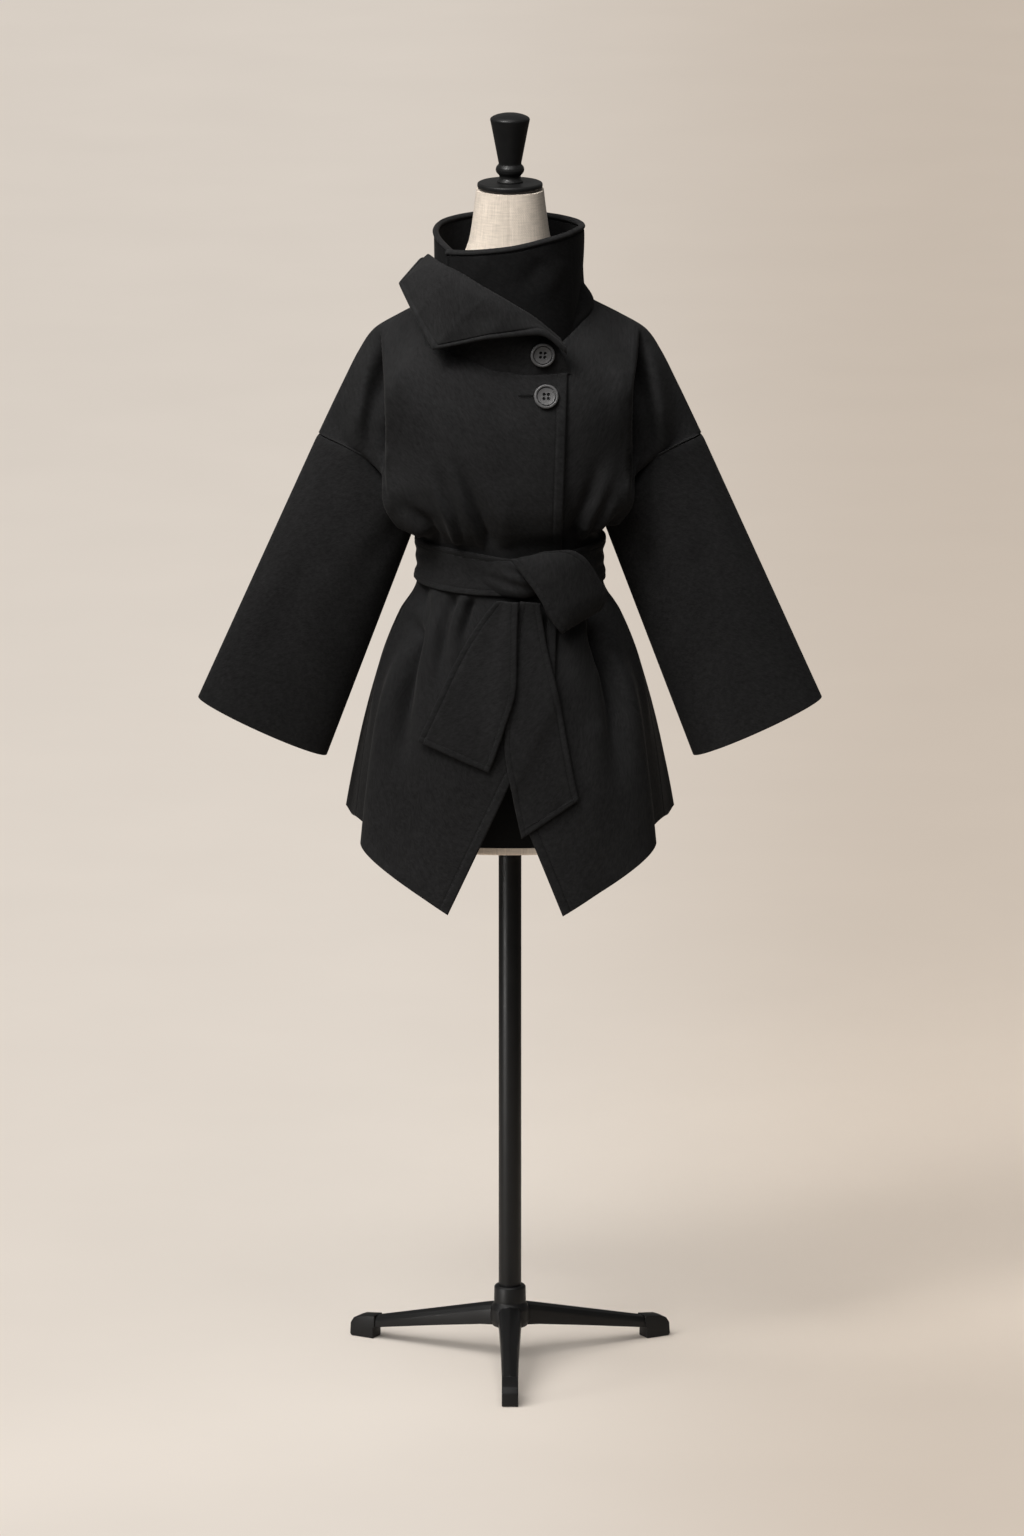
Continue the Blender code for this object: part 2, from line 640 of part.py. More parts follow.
def denser(grid, times):
    """The same sheet with more points between its own."""
    for axis in (0, 1):
        count = grid[0].shape[axis]
        at = np.linspace(0, count - 1, (count - 1) * times + 1)
        low = np.minimum(at.astype(int), count - 2)
        share = (at - low).reshape((-1, 1, 1) if axis == 0 else (1, -1, 1))
        grid = tuple(np.take(g, low, axis) * (1 - share) + np.take(g, low + 1, axis) * share for g in grid)
    return grid


def lay_on(points, cover, clear, reach):
    """Moves points forward (to -Y) until they clear the cover within reach of them."""
    for k in np.ndindex(points.shape[:2]):
        x, _, z = points[k]
        near = (cover[:, 0] - x) ** 2 + (cover[:, 2] - z) ** 2
        laid = cover[near <= max(reach ** 2, 1.2 * near.min()), 1].min() - clear
        hang = smooth(0, TAIL_SETTLE, KNOT_CENTRE[2] - KNOT_SIZE[2] / 2 - z)
        points[k][1] = min(laid, KNOT_CENTRE[1] * (1 - hang) + laid * hang)
    return points


# Meshes
def add_object(name, mesh, colour, rough, metal=0.0):
    obj = bpy.data.objects.new(name, mesh)
    COAT.objects.link(obj)
    material = bpy.data.materials.new(name)
    material.use_nodes = True
    shader = material.node_tree.nodes["Principled BSDF"]
    shader.inputs["Base Color"].default_value = (*colour, 1.0)
    shader.inputs["Roughness"].default_value = rough
    shader.inputs["Metallic"].default_value = metal
    material.diffuse_color = (*colour, 1.0)
    mesh.materials.append(material)
    obj.parent = AXIS
    return obj


def mesh_of(name, points, faces):
    mesh = bpy.data.meshes.new(name)
    mesh.from_pydata((np.asarray(points) * MM).tolist(), [], faces)
    work = bmesh.new()
    work.from_mesh(mesh)
    bmesh.ops.recalc_face_normals(work, faces=work.faces)
    bmesh.ops.triangulate(work, faces=work.faces[:], quad_method="SHORT_EDGE")
    work.to_mesh(mesh)
    work.free()
    return mesh


def wall(name, grid, thick, ring=False, mirror=False, colour=WOOL):
    """A sheet of cloth with its thickness, from its mid surface and normals."""
    points, normals = grid
    outer, inner = points + normals * thick / 2, points - normals * thick / 2
    rows, cols = points.shape[:2]
    corners = np.vstack([outer.reshape(-1, 3), inner.reshape(-1, 3)])
    if mirror:
        corners = corners * np.array([-1, 1, 1])
    size = rows * cols
    at = lambda r, c: r * cols + c % cols
    faces = []
    for r in range(rows - 1):
        for c in range(cols if ring else cols - 1):
            quad = [at(r, c), at(r, c + 1), at(r + 1, c + 1), at(r + 1, c)]
            faces.append(quad)
            faces.append([size + k for k in reversed(quad)])
    for r in (0, rows - 1):
        for c in range(cols if ring else cols - 1):
            faces.append([at(r, c), at(r, c + 1), size + at(r, c + 1), size + at(r, c)])
    if not ring:
        for c in (0, cols - 1):
            for r in range(rows - 1):
                faces.append([at(r, c), at(r + 1, c), size + at(r + 1, c), size + at(r, c)])
    return add_object(name, mesh_of(name, corners, faces), colour, 0.9)


def loft(name, rings, colour, rough, metal=0.0):
    """A solid through closed rings of equal count, with flat ends."""
    rings = np.asarray(rings, float)
    count, cols = rings.shape[:2]
    at = lambda r, c: r * cols + c % cols
    faces = [[at(r, c), at(r, c + 1), at(r + 1, c + 1), at(r + 1, c)]
             for r in range(count - 1) for c in range(cols)]
    faces.append([at(0, c) for c in range(cols)])
    faces.append([at(count - 1, c) for c in range(cols)])
    return add_object(name, mesh_of(name, rings.reshape(-1, 3), faces), colour, rough, metal)


def form_rings(rows, steps):
    rows = table(rows)
    rows = along_rows(rows, np.diff(rows[:, 0]), np.linspace(0, len(rows) - 1, steps))
    angle = np.linspace(0, 2 * np.pi, FORM_SIDES, endpoint=False)
    power = 2 / FORM_POWER
    side = np.sign(np.cos(angle)) * np.abs(np.cos(angle)) ** power
    deep = np.sign(np.sin(angle)) * np.abs(np.sin(angle)) ** power
    rings = []
    for z, width, front, back in rows:
        rings.append(columns(width * side, np.where(deep < 0, front, back) * deep, z))
    return rings


def baked(obj):
    """The object's mesh with its modifiers applied."""
    graph = bpy.context.evaluated_depsgraph_get()
    mesh = bpy.data.meshes.new_from_object(obj.evaluated_get(graph))
    obj.modifiers.clear()
    old = obj.data
    obj.data = mesh
    bpy.data.meshes.remove(old)
    return obj


def turned(name, profile, steps, colour, rough, metal=0.0):
    mesh = bpy.data.meshes.new(name)
    points = [(p.radius * MM, 0.0, p.z * MM) for p in profile]
    mesh.from_pydata(points, [(k, k + 1) for k in range(len(points) - 1)], [])
    obj = add_object(name, mesh, colour, rough, metal)
    screw = obj.modifiers.new("turn", "SCREW")
    screw.axis = "Z"
    screw.steps = steps
    screw.render_steps = steps
    screw.use_merge_vertices = True
    screw.merge_threshold = 0.00002
    return obj


def leg_ring(leg, heading):
    outline = [(-leg.half_bottom, leg.bottom_z), (leg.half_bottom, leg.bottom_z),
               (leg.half_bottom, leg.shoulder_z - 6), (leg.half_top, leg.shoulder_z),
               (0, leg.ridge_z), (-leg.half_top, leg.shoulder_z), (-leg.half_bottom, leg.shoulder_z - 6)]
    ahead, aside = np.array([math.cos(heading), math.sin(heading)]), np.array([-math.sin(heading), math.cos(heading)])
    return [(*(ahead * leg.reach + aside * side), z) for side, z in outline]


def foot_pad(name, heading):
    curve = bpy.data.curves.new(name, "CURVE")
    curve.dimensions = "2D"
    curve.fill_mode = "BOTH"
    curve.extrude = FOOT_HALF_WIDTH * MM
    line = curve.splines.new("POLY")
    line.points.add(len(FOOT_OUTLINE) - 1)
    for point, (reach, z) in zip(line.points, FOOT_OUTLINE):
        point.co = (reach * MM, z * MM, 0.0, 1.0)
    line.use_cyclic_u = True
    shape = bpy.data.objects.new(name + "_outline", curve)
    CUTTERS.objects.link(shape)
    shape.hide_render = True
    mesh = bpy.data.meshes.new_from_object(shape.evaluated_get(bpy.context.evaluated_depsgraph_get()))
    bpy.data.objects.remove(shape)
    work = bmesh.new()
    work.from_mesh(mesh)
    bmesh.ops.remove_doubles(work, verts=work.verts, dist=1e-6)
    bmesh.ops.recalc_face_normals(work, faces=work.faces)
    work.to_mesh(mesh)
    work.free()
    mesh.materials.clear()
    mesh.transform(Matrix.Rotation(heading, 4, "Z") @ Matrix.Rotation(math.pi / 2, 4, "X"))
    return add_object(name, mesh, METAL, 0.5)


def button_mesh():
    r, t = BUTTON_RADIUS, BUTTON_THICK
    profile = [Turned(0, t - 2.2), Turned(0.55 * r, t - 2.0), Turned(0.70 * r, t - 1.5), Turned(0.80 * r, t - 0.3),
               Turned(0.87 * r, t), Turned(0.95 * r, t - 0.5), Turned(r, t - 2.0), Turned(0.95 * r, 0.9),
               Turned(0.80 * r, 0), Turned(0, 0)]
    blank = turned("button_blank", profile, 22, HORN, 0.4)
    holes = bmesh.new()
    for x in (-0.5, 0.5):
        for y in (-0.5, 0.5):
            place = Matrix.Translation(Vector((x, y, 0.5)) * BUTTON_HOLE_PITCH * MM)
            bmesh.ops.create_cone(holes, cap_ends=True, segments=10, radius1=BUTTON_HOLE_RADIUS * MM,
                                  radius2=BUTTON_HOLE_RADIUS * MM, depth=20 * MM, matrix=place)
    cutter_mesh = bpy.data.meshes.new("button_holes")
    holes.to_mesh(cutter_mesh)
    holes.free()
    cutter = bpy.data.objects.new("button_holes", cutter_mesh)
    CUTTERS.objects.link(cutter)
    cutter.hide_render = True
    cutter.parent = AXIS
    cut = blank.modifiers.new("holes", "BOOLEAN")
    cut.object = cutter
    cut.operation = "DIFFERENCE"
    cut.solver = "EXACT"
    mesh = baked(blank).data.copy()
    bpy.data.objects.remove(blank)
    return mesh


def add_button(name, mesh, place, grid, thick):
    """Sets a button on a sheet's outer face, at its (x, z) in the viewer's plane."""
    points, normals = grid
    flat = points.reshape(-1, 3)
    facing_out = normals.reshape(-1, 3)
    facing_out = facing_out * np.sign(-facing_out[:, 1:2])
    near = (flat[:, 0] - place[0]) ** 2 + (flat[:, 2] - place[1]) ** 2
    close = np.argsort(near)[:9]
    outer = flat[close] + facing_out[close] * thick / 2
    direction = unit(facing_out[close].mean(axis=0))
    centre = np.array([place[0], 0.0, place[1]])
    middle = outer.mean(axis=0)
    centre[1] = middle[1] - ((centre - middle) @ (direction * np.array([1, 0, 1]))) / direction[1]
    reach = np.sqrt(near) < BUTTON_RADIUS + 12
    heights = (flat[reach] + facing_out[reach] * thick / 2 - centre) @ direction
    centre = centre + direction * (max(heights.max(), 0.0) + SEAM_GAP)
    copy = mesh.copy()
    copy.materials.clear()
    obj = add_object(name, copy, HORN, 0.42)
    turn = Vector((0, 0, 1)).rotation_difference(Vector(direction)).to_matrix().to_4x4()
    obj.matrix_local = Matrix.Translation(Vector(centre) * MM) @ turn
    return obj


def knot_object():
    work = bmesh.new()
    size = Matrix.Diagonal((*(s * MM for s in KNOT_SIZE), 1.0))
    bmesh.ops.create_cube(work, size=1.0, matrix=Matrix.Translation(Vector(KNOT_CENTRE) * MM) @ size)
    bmesh.ops.bevel(work, geom=work.edges[:], offset=6 * MM, segments=3, affect="EDGES", profile=0.5)
    mesh = bpy.data.meshes.new("belt_knot")
    work.to_mesh(mesh)
    work.free()
    return add_object("belt_knot", mesh, WOOL, 0.9)


def base_object():
    hub = turned("base", HUB, 32, METAL, 0.45, 0.6)
    headings = [math.radians(-90), math.radians(30), math.radians(150)]
    for number, heading in enumerate(headings):
        cutter = loft(f"leg_{number}", [leg_ring(leg, heading) for leg in LEG], METAL, 0.45)
        COAT.objects.unlink(cutter)
        CUTTERS.objects.link(cutter)
        cutter.hide_render = True
        join = hub.modifiers.new("leg", "BOOLEAN")
        join.object = cutter
        join.operation = "UNION"
        join.solver = "EXACT"
    for name, heading in zip(("foot_front", "foot_right", "foot_left"), headings):
        foot_pad(name, heading)
    return hub


for old in list(bpy.data.objects):
    bpy.data.objects.remove(old)
COAT = bpy.data.collections.new("belted_coat")
CUTTERS = bpy.data.collections.new("cutters")
bpy.context.scene.collection.children.link(COAT)
bpy.context.scene.collection.children.link(CUTTERS)
AXIS = bpy.data.objects.new("stand_axis", None)
COAT.objects.link(AXIS)

# Coat panels
ARMHOLE_ROWS = [SEAM_TOP_ROW + 3 * k / 8 for k in range(9)]
PANEL_ROWS = [0, 0.6, 1.2, 2, 3, 4, 4.6] + ARMHOLE_ROWS + [8.5, 9, 9.5, 10, 10.5, 11, 11.5, 12, 12.6, 13.3, 14, 14.7, 15.4, 16]
right_front = front_grid(PANEL_ROWS, 17, EDGE_RIGHT, NECK_RIGHT, FOLDS_RIGHT, FOLDS_LEFT, 0.0)
left_front = front_grid(PANEL_ROWS, 17, EDGE_LEFT, NECK_LEFT, FOLDS_LEFT, FOLDS_RIGHT, LAP_STEP)
back = back_grid(PANEL_ROWS, 21)
sleeve = sleeve_grid(16, 9)
wall("front_right", right_front, COAT_WALL, mirror=True)
wall("front_left", left_front, COAT_WALL)
wall("back", back, COAT_WALL)
wall("sleeve_right", sleeve, COAT_WALL, ring=True, mirror=True)
wall("sleeve_left", sleeve, COAT_WALL, ring=True)

# Collar
wall("collar_band", collar_band_grid(42, 4), COLLAR_WALL)
LAPEL_STEPS = [0, 0.5, 1, 1.6, 2, 2.5, 3, 3.5, 4, 4.5, 5, 5.5, 6]
lapel = lapel_grid(17, LAPEL_STEPS)
wall("collar_lapel", lapel, COLLAR_WALL)

# Belt
flip = np.array([-1, 1, 1])
FINE_ROWS = np.linspace(8, HEM_ROW, 65)
fine_right = front_grid(FINE_ROWS, 33, EDGE_RIGHT, NECK_RIGHT, FOLDS_RIGHT, FOLDS_LEFT, 0.0)
fine_left = front_grid(FINE_ROWS, 33, EDGE_LEFT, NECK_LEFT, FOLDS_LEFT, FOLDS_RIGHT, LAP_STEP)
cover = front_cover([(fine_right[0] * flip, fine_right[1] * flip), fine_left])
wall("belt_band", belt_grid(48, 5), BELT_WALL, ring=True)
wall("belt_loop", strip_grid(LOOP, 20, 5, 0.0), BELT_WALL)
knot_object()
right_tail, _ = strip_grid(TAIL_RIGHT, 14, 4, 0.0)
right_tail = lay_on(right_tail, cover, BELT_WALL / 2 + TAIL_CLEAR, TAIL_NEAR)
right_tail = (right_tail, sheet_normals(right_tail))
wall("belt_tail_right", right_tail, BELT_WALL)
left_tail, _ = strip_grid(TAIL_LEFT, 12, 5, 0.0)
under_left = np.vstack([cover, front_cover([denser(right_tail, 4)]) - TAIL_STEP])
left_tail = lay_on(left_tail, under_left, BELT_WALL / 2 + TAIL_CLEAR, TAIL_OVER_NEAR)
wall("belt_tail_left", (left_tail, sheet_normals(left_tail)), BELT_WALL)

# Buttons
disc = button_mesh()
add_button("button_upper", disc, BUTTON_UPPER, (lapel[0][:5], lapel[1][:5]), COLLAR_WALL)
add_button("button_lower", disc, BUTTON_LOWER, (right_front[0] * flip, right_front[1] * flip), COAT_WALL)

# Dress form and stand
loft("form_bust", form_rings(BUST, 21), LINEN, 0.85)
loft("form_trunk", form_rings(TRUNK, 8), DARK_CLOTH, 0.85)
loft("form_rim", form_rings(RIM, 3), LINEN, 0.85)
turned("finial", FINIAL, 24, METAL, 0.35)
turned("neck_plate", PLATE, 32, METAL, 0.35)
turned("pole", POLE, 24, METAL, 0.4, 0.6)
base_object()

# The origin is the middle of the footprint: the front foot reaches forward, the back hem back
back_reach = float((back[0] + back[1] * COAT_WALL / 2)[..., 1].max())
AXIS.location = (0.0, (LEG_LENGTH - back_reach) / 2 * MM, 0.0)
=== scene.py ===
# %% [markdown]
# A short black wool coat with a wrap collar and a tied belt hangs on a linen dress form. The solids
# of the part already have the coat's sections. This script dresses them: it repeats the same sections
# on fine grids, adds creases, rolled edges, seams and stitching, and gives every piece its finish.

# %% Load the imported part
import math
from collections import namedtuple

import bmesh
import bpy
import numpy as np
from mathutils import Matrix, Vector


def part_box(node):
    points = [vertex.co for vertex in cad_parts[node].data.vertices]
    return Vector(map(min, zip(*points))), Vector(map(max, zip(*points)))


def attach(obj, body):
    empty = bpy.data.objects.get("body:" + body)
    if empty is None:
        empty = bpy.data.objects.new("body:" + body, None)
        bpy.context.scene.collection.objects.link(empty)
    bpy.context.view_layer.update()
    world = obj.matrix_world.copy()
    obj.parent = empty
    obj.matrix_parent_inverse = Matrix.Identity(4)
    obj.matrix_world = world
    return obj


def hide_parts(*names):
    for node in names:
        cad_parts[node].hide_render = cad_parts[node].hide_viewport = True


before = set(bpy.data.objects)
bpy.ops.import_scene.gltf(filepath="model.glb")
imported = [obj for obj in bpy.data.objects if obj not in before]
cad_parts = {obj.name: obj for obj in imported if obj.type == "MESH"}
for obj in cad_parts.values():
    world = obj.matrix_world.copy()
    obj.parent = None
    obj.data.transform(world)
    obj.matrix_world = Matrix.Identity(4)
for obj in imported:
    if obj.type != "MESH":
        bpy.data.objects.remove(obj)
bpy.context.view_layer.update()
for spare in ("Cube", "Light", "Camera"):
    if spare in bpy.data.objects:
        bpy.data.objects.remove(bpy.data.objects[spare])
print("solids loaded:", len(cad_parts))

# %% [markdown]
# The photograph was taken with a long lens from a little above. The camera was matched to the coat's
# outline row by row, so it stands 18.4 m in front of the pole and looks 13 degrees down. A long lens
# that far away keeps the verticals straight, as the picture does.

# %% Camera
MM = 0.001
pole_low, pole_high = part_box("pole")
AXIS_Y = (pole_low[1] + pole_high[1]) / 2 / MM
CAMERA_BACK = 18.4
CAMERA_HEIGHT = 5.17
CAMERA_PITCH = 13.19
LENS_LENGTH, SENSOR_WIDTH, FRAME_SHIFT, FAR_CLIP = 315.9, 36, 2 / 1536, 200

lens = bpy.data.cameras.new("photo_camera")
lens.lens = LENS_LENGTH
lens.sensor_width = SENSOR_WIDTH
lens.shift_x = FRAME_SHIFT
lens.clip_end = FAR_CLIP
camera = bpy.data.objects.new("photo_camera", lens)
camera.location = (0, AXIS_Y * MM - CAMERA_BACK, CAMERA_HEIGHT)
camera.rotation_euler = (math.radians(90 - CAMERA_PITCH), 0, 0)
bpy.context.scene.collection.objects.link(camera)
bpy.context.scene.camera = camera
print("pole axis at y", round(AXIS_Y, 2), "mm")

# %% [markdown]
# A studio sweep is a floor that runs up behind the object with no line. Here one very wide pale floor
# fills the frame, because the camera looks down on it. A sun with a wide disc stands in for a big soft
# box at the upper left: it lights the floor evenly and gives soft shadows. A small box with a grid adds
# light on the chest, a strip at the left draws a line down the pole, and the world fills the rest.

# %% Floor, light and colour
WARM_WHITE, STRIP_WHITE, FILL_COLOUR = (1.0, 0.985, 0.965), (1.0, 0.98, 0.96), (0.80, 0.78, 0.75, 1)
FILL_STRENGTH = 0.18
scene = bpy.context.scene
scene.view_settings.view_transform = "Standard"
world = bpy.data.worlds.new("studio")
world.use_nodes = True
scene.world = world
sky = world.node_tree.nodes["Background"]
sky.inputs["Color"].default_value = FILL_COLOUR
sky.inputs["Strength"].default_value = FILL_STRENGTH


def add_sun(name, direction, strength, disc, colour):
    light = bpy.data.lights.new(name, "SUN")
    light.energy = strength
    light.angle = math.radians(disc)
    light.color = colour
    holder = bpy.data.objects.new(name, light)
    holder.rotation_euler = Vector(direction).to_track_quat("Z", "Y").to_euler()
    scene.collection.objects.link(holder)
    return holder


def add_panel(name, place, aim, size, strength, spread, colour):
    light = bpy.data.lights.new(name, "AREA")
    light.shape = "RECTANGLE"
    light.size, light.size_y = size
    light.spread = math.radians(spread)
    light.energy = strength
    light.color = colour
    holder = bpy.data.objects.new(name, light)
    holder.location = place
    holder.rotation_euler = (Vector(place) - Vector(aim)).to_track_quat("Z", "Y").to_euler()
    scene.collection.objects.link(holder)
    return holder


add_sun("key_sun", (-0.38, -0.42, 1.0), 2.85, 72, WARM_WHITE)
add_panel("chest_box", (-0.78, -0.9, 2.85), (-0.02, 0, 1.47), (0.7, 0.7), 2.1, 36, WARM_WHITE)
add_panel("left_strip", (-2.0, -1.5, 0.3), (0, 0, 0.3), (0.3, 0.6), 1.3, 28, STRIP_WHITE)

# %% [markdown]
# Colours that drift over a surface, such as the brushed nap of wool or the slubs of linen, are the
# same idea on several pieces, so each is a shader node group with named inputs. The groups give only
# a shade and a height. The shader itself stays in each material, where its fixed values are set.


# %% Helpers for shader groups
def new_group(name, inputs, outputs):
    tree = bpy.data.node_groups.new(name, "ShaderNodeTree")
    for label, kind, value in inputs:
        socket = tree.interface.new_socket(label, in_out="INPUT", socket_type=kind)
        if value is not None:
            socket.default_value = value
    for label, kind in outputs:
        tree.interface.new_socket(label, in_out="OUTPUT", socket_type=kind)
    return tree, tree.nodes.new("NodeGroupInput"), tree.nodes.new("NodeGroupOutput")


def node(tree, kind, **values):
    made = tree.nodes.new(kind)
    for key, value in values.items():
        if key.startswith("in_"):
            made.inputs[key[3:].replace("_", " ")].default_value = value
        else:
            setattr(made, key, value)
    return made


def math_node(tree, operation, first, second):
    made = tree.nodes.new("ShaderNodeMath")
    made.operation = operation
    for socket, value in zip(made.inputs, (first, second)):
        if isinstance(value, (int, float)):
            socket.default_value = value
        else:
            tree.links.new(value, socket)
    return made.outputs[0]


def stretched(tree, vector, turn, scale):
    """The same coordinates turned in their plane, then drawn out, for fibres that lie one way."""
    made = tree.nodes.new("ShaderNodeMapping")
    made.vector_type = "TEXTURE"
    made.inputs["Rotation"].default_value = (0, 0, math.radians(turn))
    made.inputs["Scale"].default_value = scale
    tree.links.new(vector, made.inputs["Vector"])
    return made.outputs[0]


def noise(tree, vector, scale, detail, rough=0.55):
    made = node(tree, "ShaderNodeTexNoise", in_Scale=scale, in_Detail=detail, in_Roughness=rough)
    tree.links.new(vector, made.inputs["Vector"])
    return made.outputs["Fac"]


def tie_finish(material, group, colour, bump, depth):
    """Ties a group's shade, times a colour, to the shader's colour, and its height to the relief."""
    tree = material.node_tree
    shader = tree.nodes["Principled BSDF"]
    tint = node(tree, "ShaderNodeMix", data_type="RGBA", blend_type="MULTIPLY")
    tint.inputs["Factor"].default_value = 1.0
    tint.inputs["A"].default_value = (*colour, 1)
    tree.links.new(group.outputs["Shade"], tint.inputs["B"])
    tree.links.new(tint.outputs["Result"], shader.inputs["Base Color"])
    relief = node(tree, "ShaderNodeBump", in_Strength=bump, in_Distance=depth)
    tree.links.new(group.outputs["Height"], relief.inputs["Height"])
    tree.links.new(relief.outputs["Normal"], shader.inputs["Normal"])


SHADE_AND_HEIGHT = [("Shade", "NodeSocketFloat"), ("Height", "NodeSocketFloat")]
print("every finish group gives", [label for label, _ in SHADE_AND_HEIGHT])

# %% [markdown]
# Brushed wool has no visible weave: its fibres are combed into a short nap that lies slantwise, with
# cloudy patches where it lies differently. The group mixes long thin noise, turned to the nap, with
# fine grain and broad clouds. It reads the cloth's own UV map, in metres, so it follows each fold.

# %% Brushed nap group
nap_tree, nap_in, nap_out = new_group(
    "brushed_nap",
    [("Vector", "NodeSocketVector", None), ("Cloud", "NodeSocketFloat", 0.22),
     ("Grain", "NodeSocketFloat", 0.3)],
    SHADE_AND_HEIGHT,
)
nap_vector, nap_grain = nap_in.outputs["Vector"], nap_in.outputs["Grain"]
fibre = noise(nap_tree, stretched(nap_tree, nap_vector, 52, (1, 3.2, 1)), 620, 3)
tufts = noise(nap_tree, stretched(nap_tree, nap_vector, 46, (1, 2, 1)), 190, 3)
clouds = noise(nap_tree, nap_vector, 26, 4, 0.6)
broad = noise(nap_tree, nap_vector, 7, 2)
grain_part = math_node(nap_tree, "MULTIPLY", math_node(nap_tree, "SUBTRACT", fibre, 0.5), nap_grain)
tuft_part = math_node(nap_tree, "MULTIPLY", math_node(nap_tree, "SUBTRACT", tufts, 0.5), nap_grain)
cloud_sum = math_node(nap_tree, "SUBTRACT", math_node(nap_tree, "ADD", clouds, broad), 1.0)
cloud_part = math_node(nap_tree, "MULTIPLY", cloud_sum, nap_in.outputs["Cloud"])
shade = math_node(nap_tree, "ADD", math_node(nap_tree, "ADD", grain_part, tuft_part), cloud_part)
nap_tree.links.new(math_node(nap_tree, "ADD", shade, 1.0), nap_out.inputs["Shade"])
height = math_node(nap_tree, "ADD", fibre, math_node(nap_tree, "MULTIPLY", tufts, 1.4))
nap_tree.links.new(height, nap_out.inputs["Height"])
print("nap group nodes", len(nap_tree.nodes))

# %% [markdown]
# The coat's wool drinks nearly all the light: it is a very dark, rough cloth with a breath of sheen
# where its fibres stand up at the edge of a form. The collar has its own, darker tint of the wool,
# which is painted shade for its wall that faces away from the light. The same recipe gives the thread
# and the form's dark cloth.


# %% Wool, thread and dark cloth
def cloth_material(name, colour, cloud, grain, bump, rough, sheen):
    material = bpy.data.materials.new(name)
    material.use_nodes = True
    tree = material.node_tree
    shader = tree.nodes["Principled BSDF"]
    shader.inputs["Sheen Weight"].default_value = sheen
    shader.inputs["Sheen Roughness"].default_value = 0.45
    shader.inputs["Sheen Tint"].default_value = (0.9, 0.88, 0.86, 1)
    shader.inputs["Specular IOR Level"].default_value = 0.1
    shader.inputs["Roughness"].default_value = rough
    group = node(tree, "ShaderNodeGroup", node_tree=nap_tree)
    group.inputs["Cloud"].default_value = cloud
    group.inputs["Grain"].default_value = grain
    place = node(tree, "ShaderNodeUVMap", uv_map="cloth")
    tree.links.new(place.outputs["UV"], group.inputs["Vector"])
    tie_finish(material, group, colour, bump, 0.0006)
    return material


WOOL = cloth_material("black_wool", (0.0128, 0.0127, 0.0130), 0.5, 1.0, 0.5, 0.95, 0.03)
# Painted shade: the collar's wall gets this darker copy of the wool, as it faces away from the light.
COLLAR_PAINTED_SHADE_TINT = (0.0060, 0.0059, 0.0061)
COLLAR_WOOL_PAINTED_SHADE = cloth_material("black_wool_collar_painted_shade", COLLAR_PAINTED_SHADE_TINT, 0.5, 1.0, 0.5, 0.95, 0.02)
LINING = cloth_material("black_form_cloth", (0.006, 0.006, 0.006), 0.2, 0.3, 0.25, 0.85, 0.01)
print("cloth materials:", WOOL.name, LINING.name)

# %% [markdown]
# The coat's body is a table: one row for each level from the neckline to the hem, with the depth at
# the centre, the corner where the chest turns to the side, and how far the cloth sinks beyond it. A
# curve runs through those points at every level. The tables are the part's own, so the cloth lies on
# its solid, and only the grid is finer.

# %% Section tables of the body
Front = namedtuple("Front", "z depth corner_z corner_x corner_y recess")
FRONT = [
    Front(1452, 108, 1497, 88, 66, -6),
    Front(1425, 119, 1470, 122, 80, 2),
    Front(1398, 129, 1440, 150, 86, 8),
    Front(1372, 136, 1412, 166, 84, 10),
    Front(1346, 139, 1384, 172, 80, 10),
    Front(1318, 140, 1345, 175, 77, 10),
    Front(1288, 140, 1305, 177, 76, 7),
    Front(1256, 137, 1260, 175, 76, 7),
    Front(1224, 126, 1220, 157, 68, 12),
    Front(1197, 110, 1197, 104, 66, -7),
    Front(1161, 106, 1161, 98, 64, -7),
    Front(1126, 110, 1126, 103, 66, -6),
    Front(1075, 124, 1078, 130, 78, -2),
    Front(1005, 137, 1010, 160, 86, 4),
    Front(915, 149, 930, 183, 90, 8),
    Front(790, 159, 850, 199, 90, 12),
    Front(652, 168, 768, 208, 88, 14),
]
Back = namedtuple("Back", "z depth corner_x corner_y recess")
BACK = [
    Back(1534, 82, 80, 62, -6),
    Back(1497, 96, 116, 82, 2),
    Back(1462, 107, 142, 92, 8),
    Back(1430, 114, 157, 95, 10),
    Back(1396, 119, 163, 95, 10),
    Back(1352, 123, 166, 94, 10),
    Back(1306, 125, 167, 92, 6),
    Back(1262, 125, 164, 90, 3),
    Back(1224, 116, 144, 78, 7),
    Back(1197, 100, 102, 74, -7),
    Back(1161, 97, 97, 72, -7),
    Back(1126, 100, 103, 74, -6),
    Back(1075, 114, 145, 72, -4),
    Back(1005, 130, 176, 68, -2),
    Back(925, 144, 201, 66, 0),
    Back(845, 154, 218, 66, 0),
    Back(770, 162, 230, 66, 0),
]
Side = namedtuple("Side", "x y z")
SHOULDER = [
    Side(112, 8, 1524), Side(152, 8, 1505), Side(190, 8, 1482),
    Side(209, 8, 1454), Side(231, 8, 1410), Side(266, 8, 1336),
]
SIDE_SEAM = [
    Side(130, 6, 1216), Side(128, 5, 1197), Side(124.5, 5, 1161),
    Side(129, 5, 1126), Side(153, 4, 1078), Side(180, 6, 1010),
    Side(197, 10, 930), Side(208, 14, 855), Side(216, 16, 784),
]
SEAM_TOP_ROW, UNDERARM_ROW, HEM_ROW = 5, 8, 16
SEAM_END = 3.99
MID_X, MID_Y, MID_Z = 0.62, 0.72, 0.5
Edge = namedtuple("Edge", "z own_x")
EDGE_RIGHT = [
    Edge(600, 126), Edge(688, 85), Edge(1003, -62),
    Edge(1100, -65), Edge(1200, -72), Edge(1460, -80),
]
EDGE_LEFT = [
    Edge(600, 105.7), Edge(688, 70), Edge(1003, -58),
    Edge(1100, -62), Edge(1200, -70), Edge(1460, -78),
]
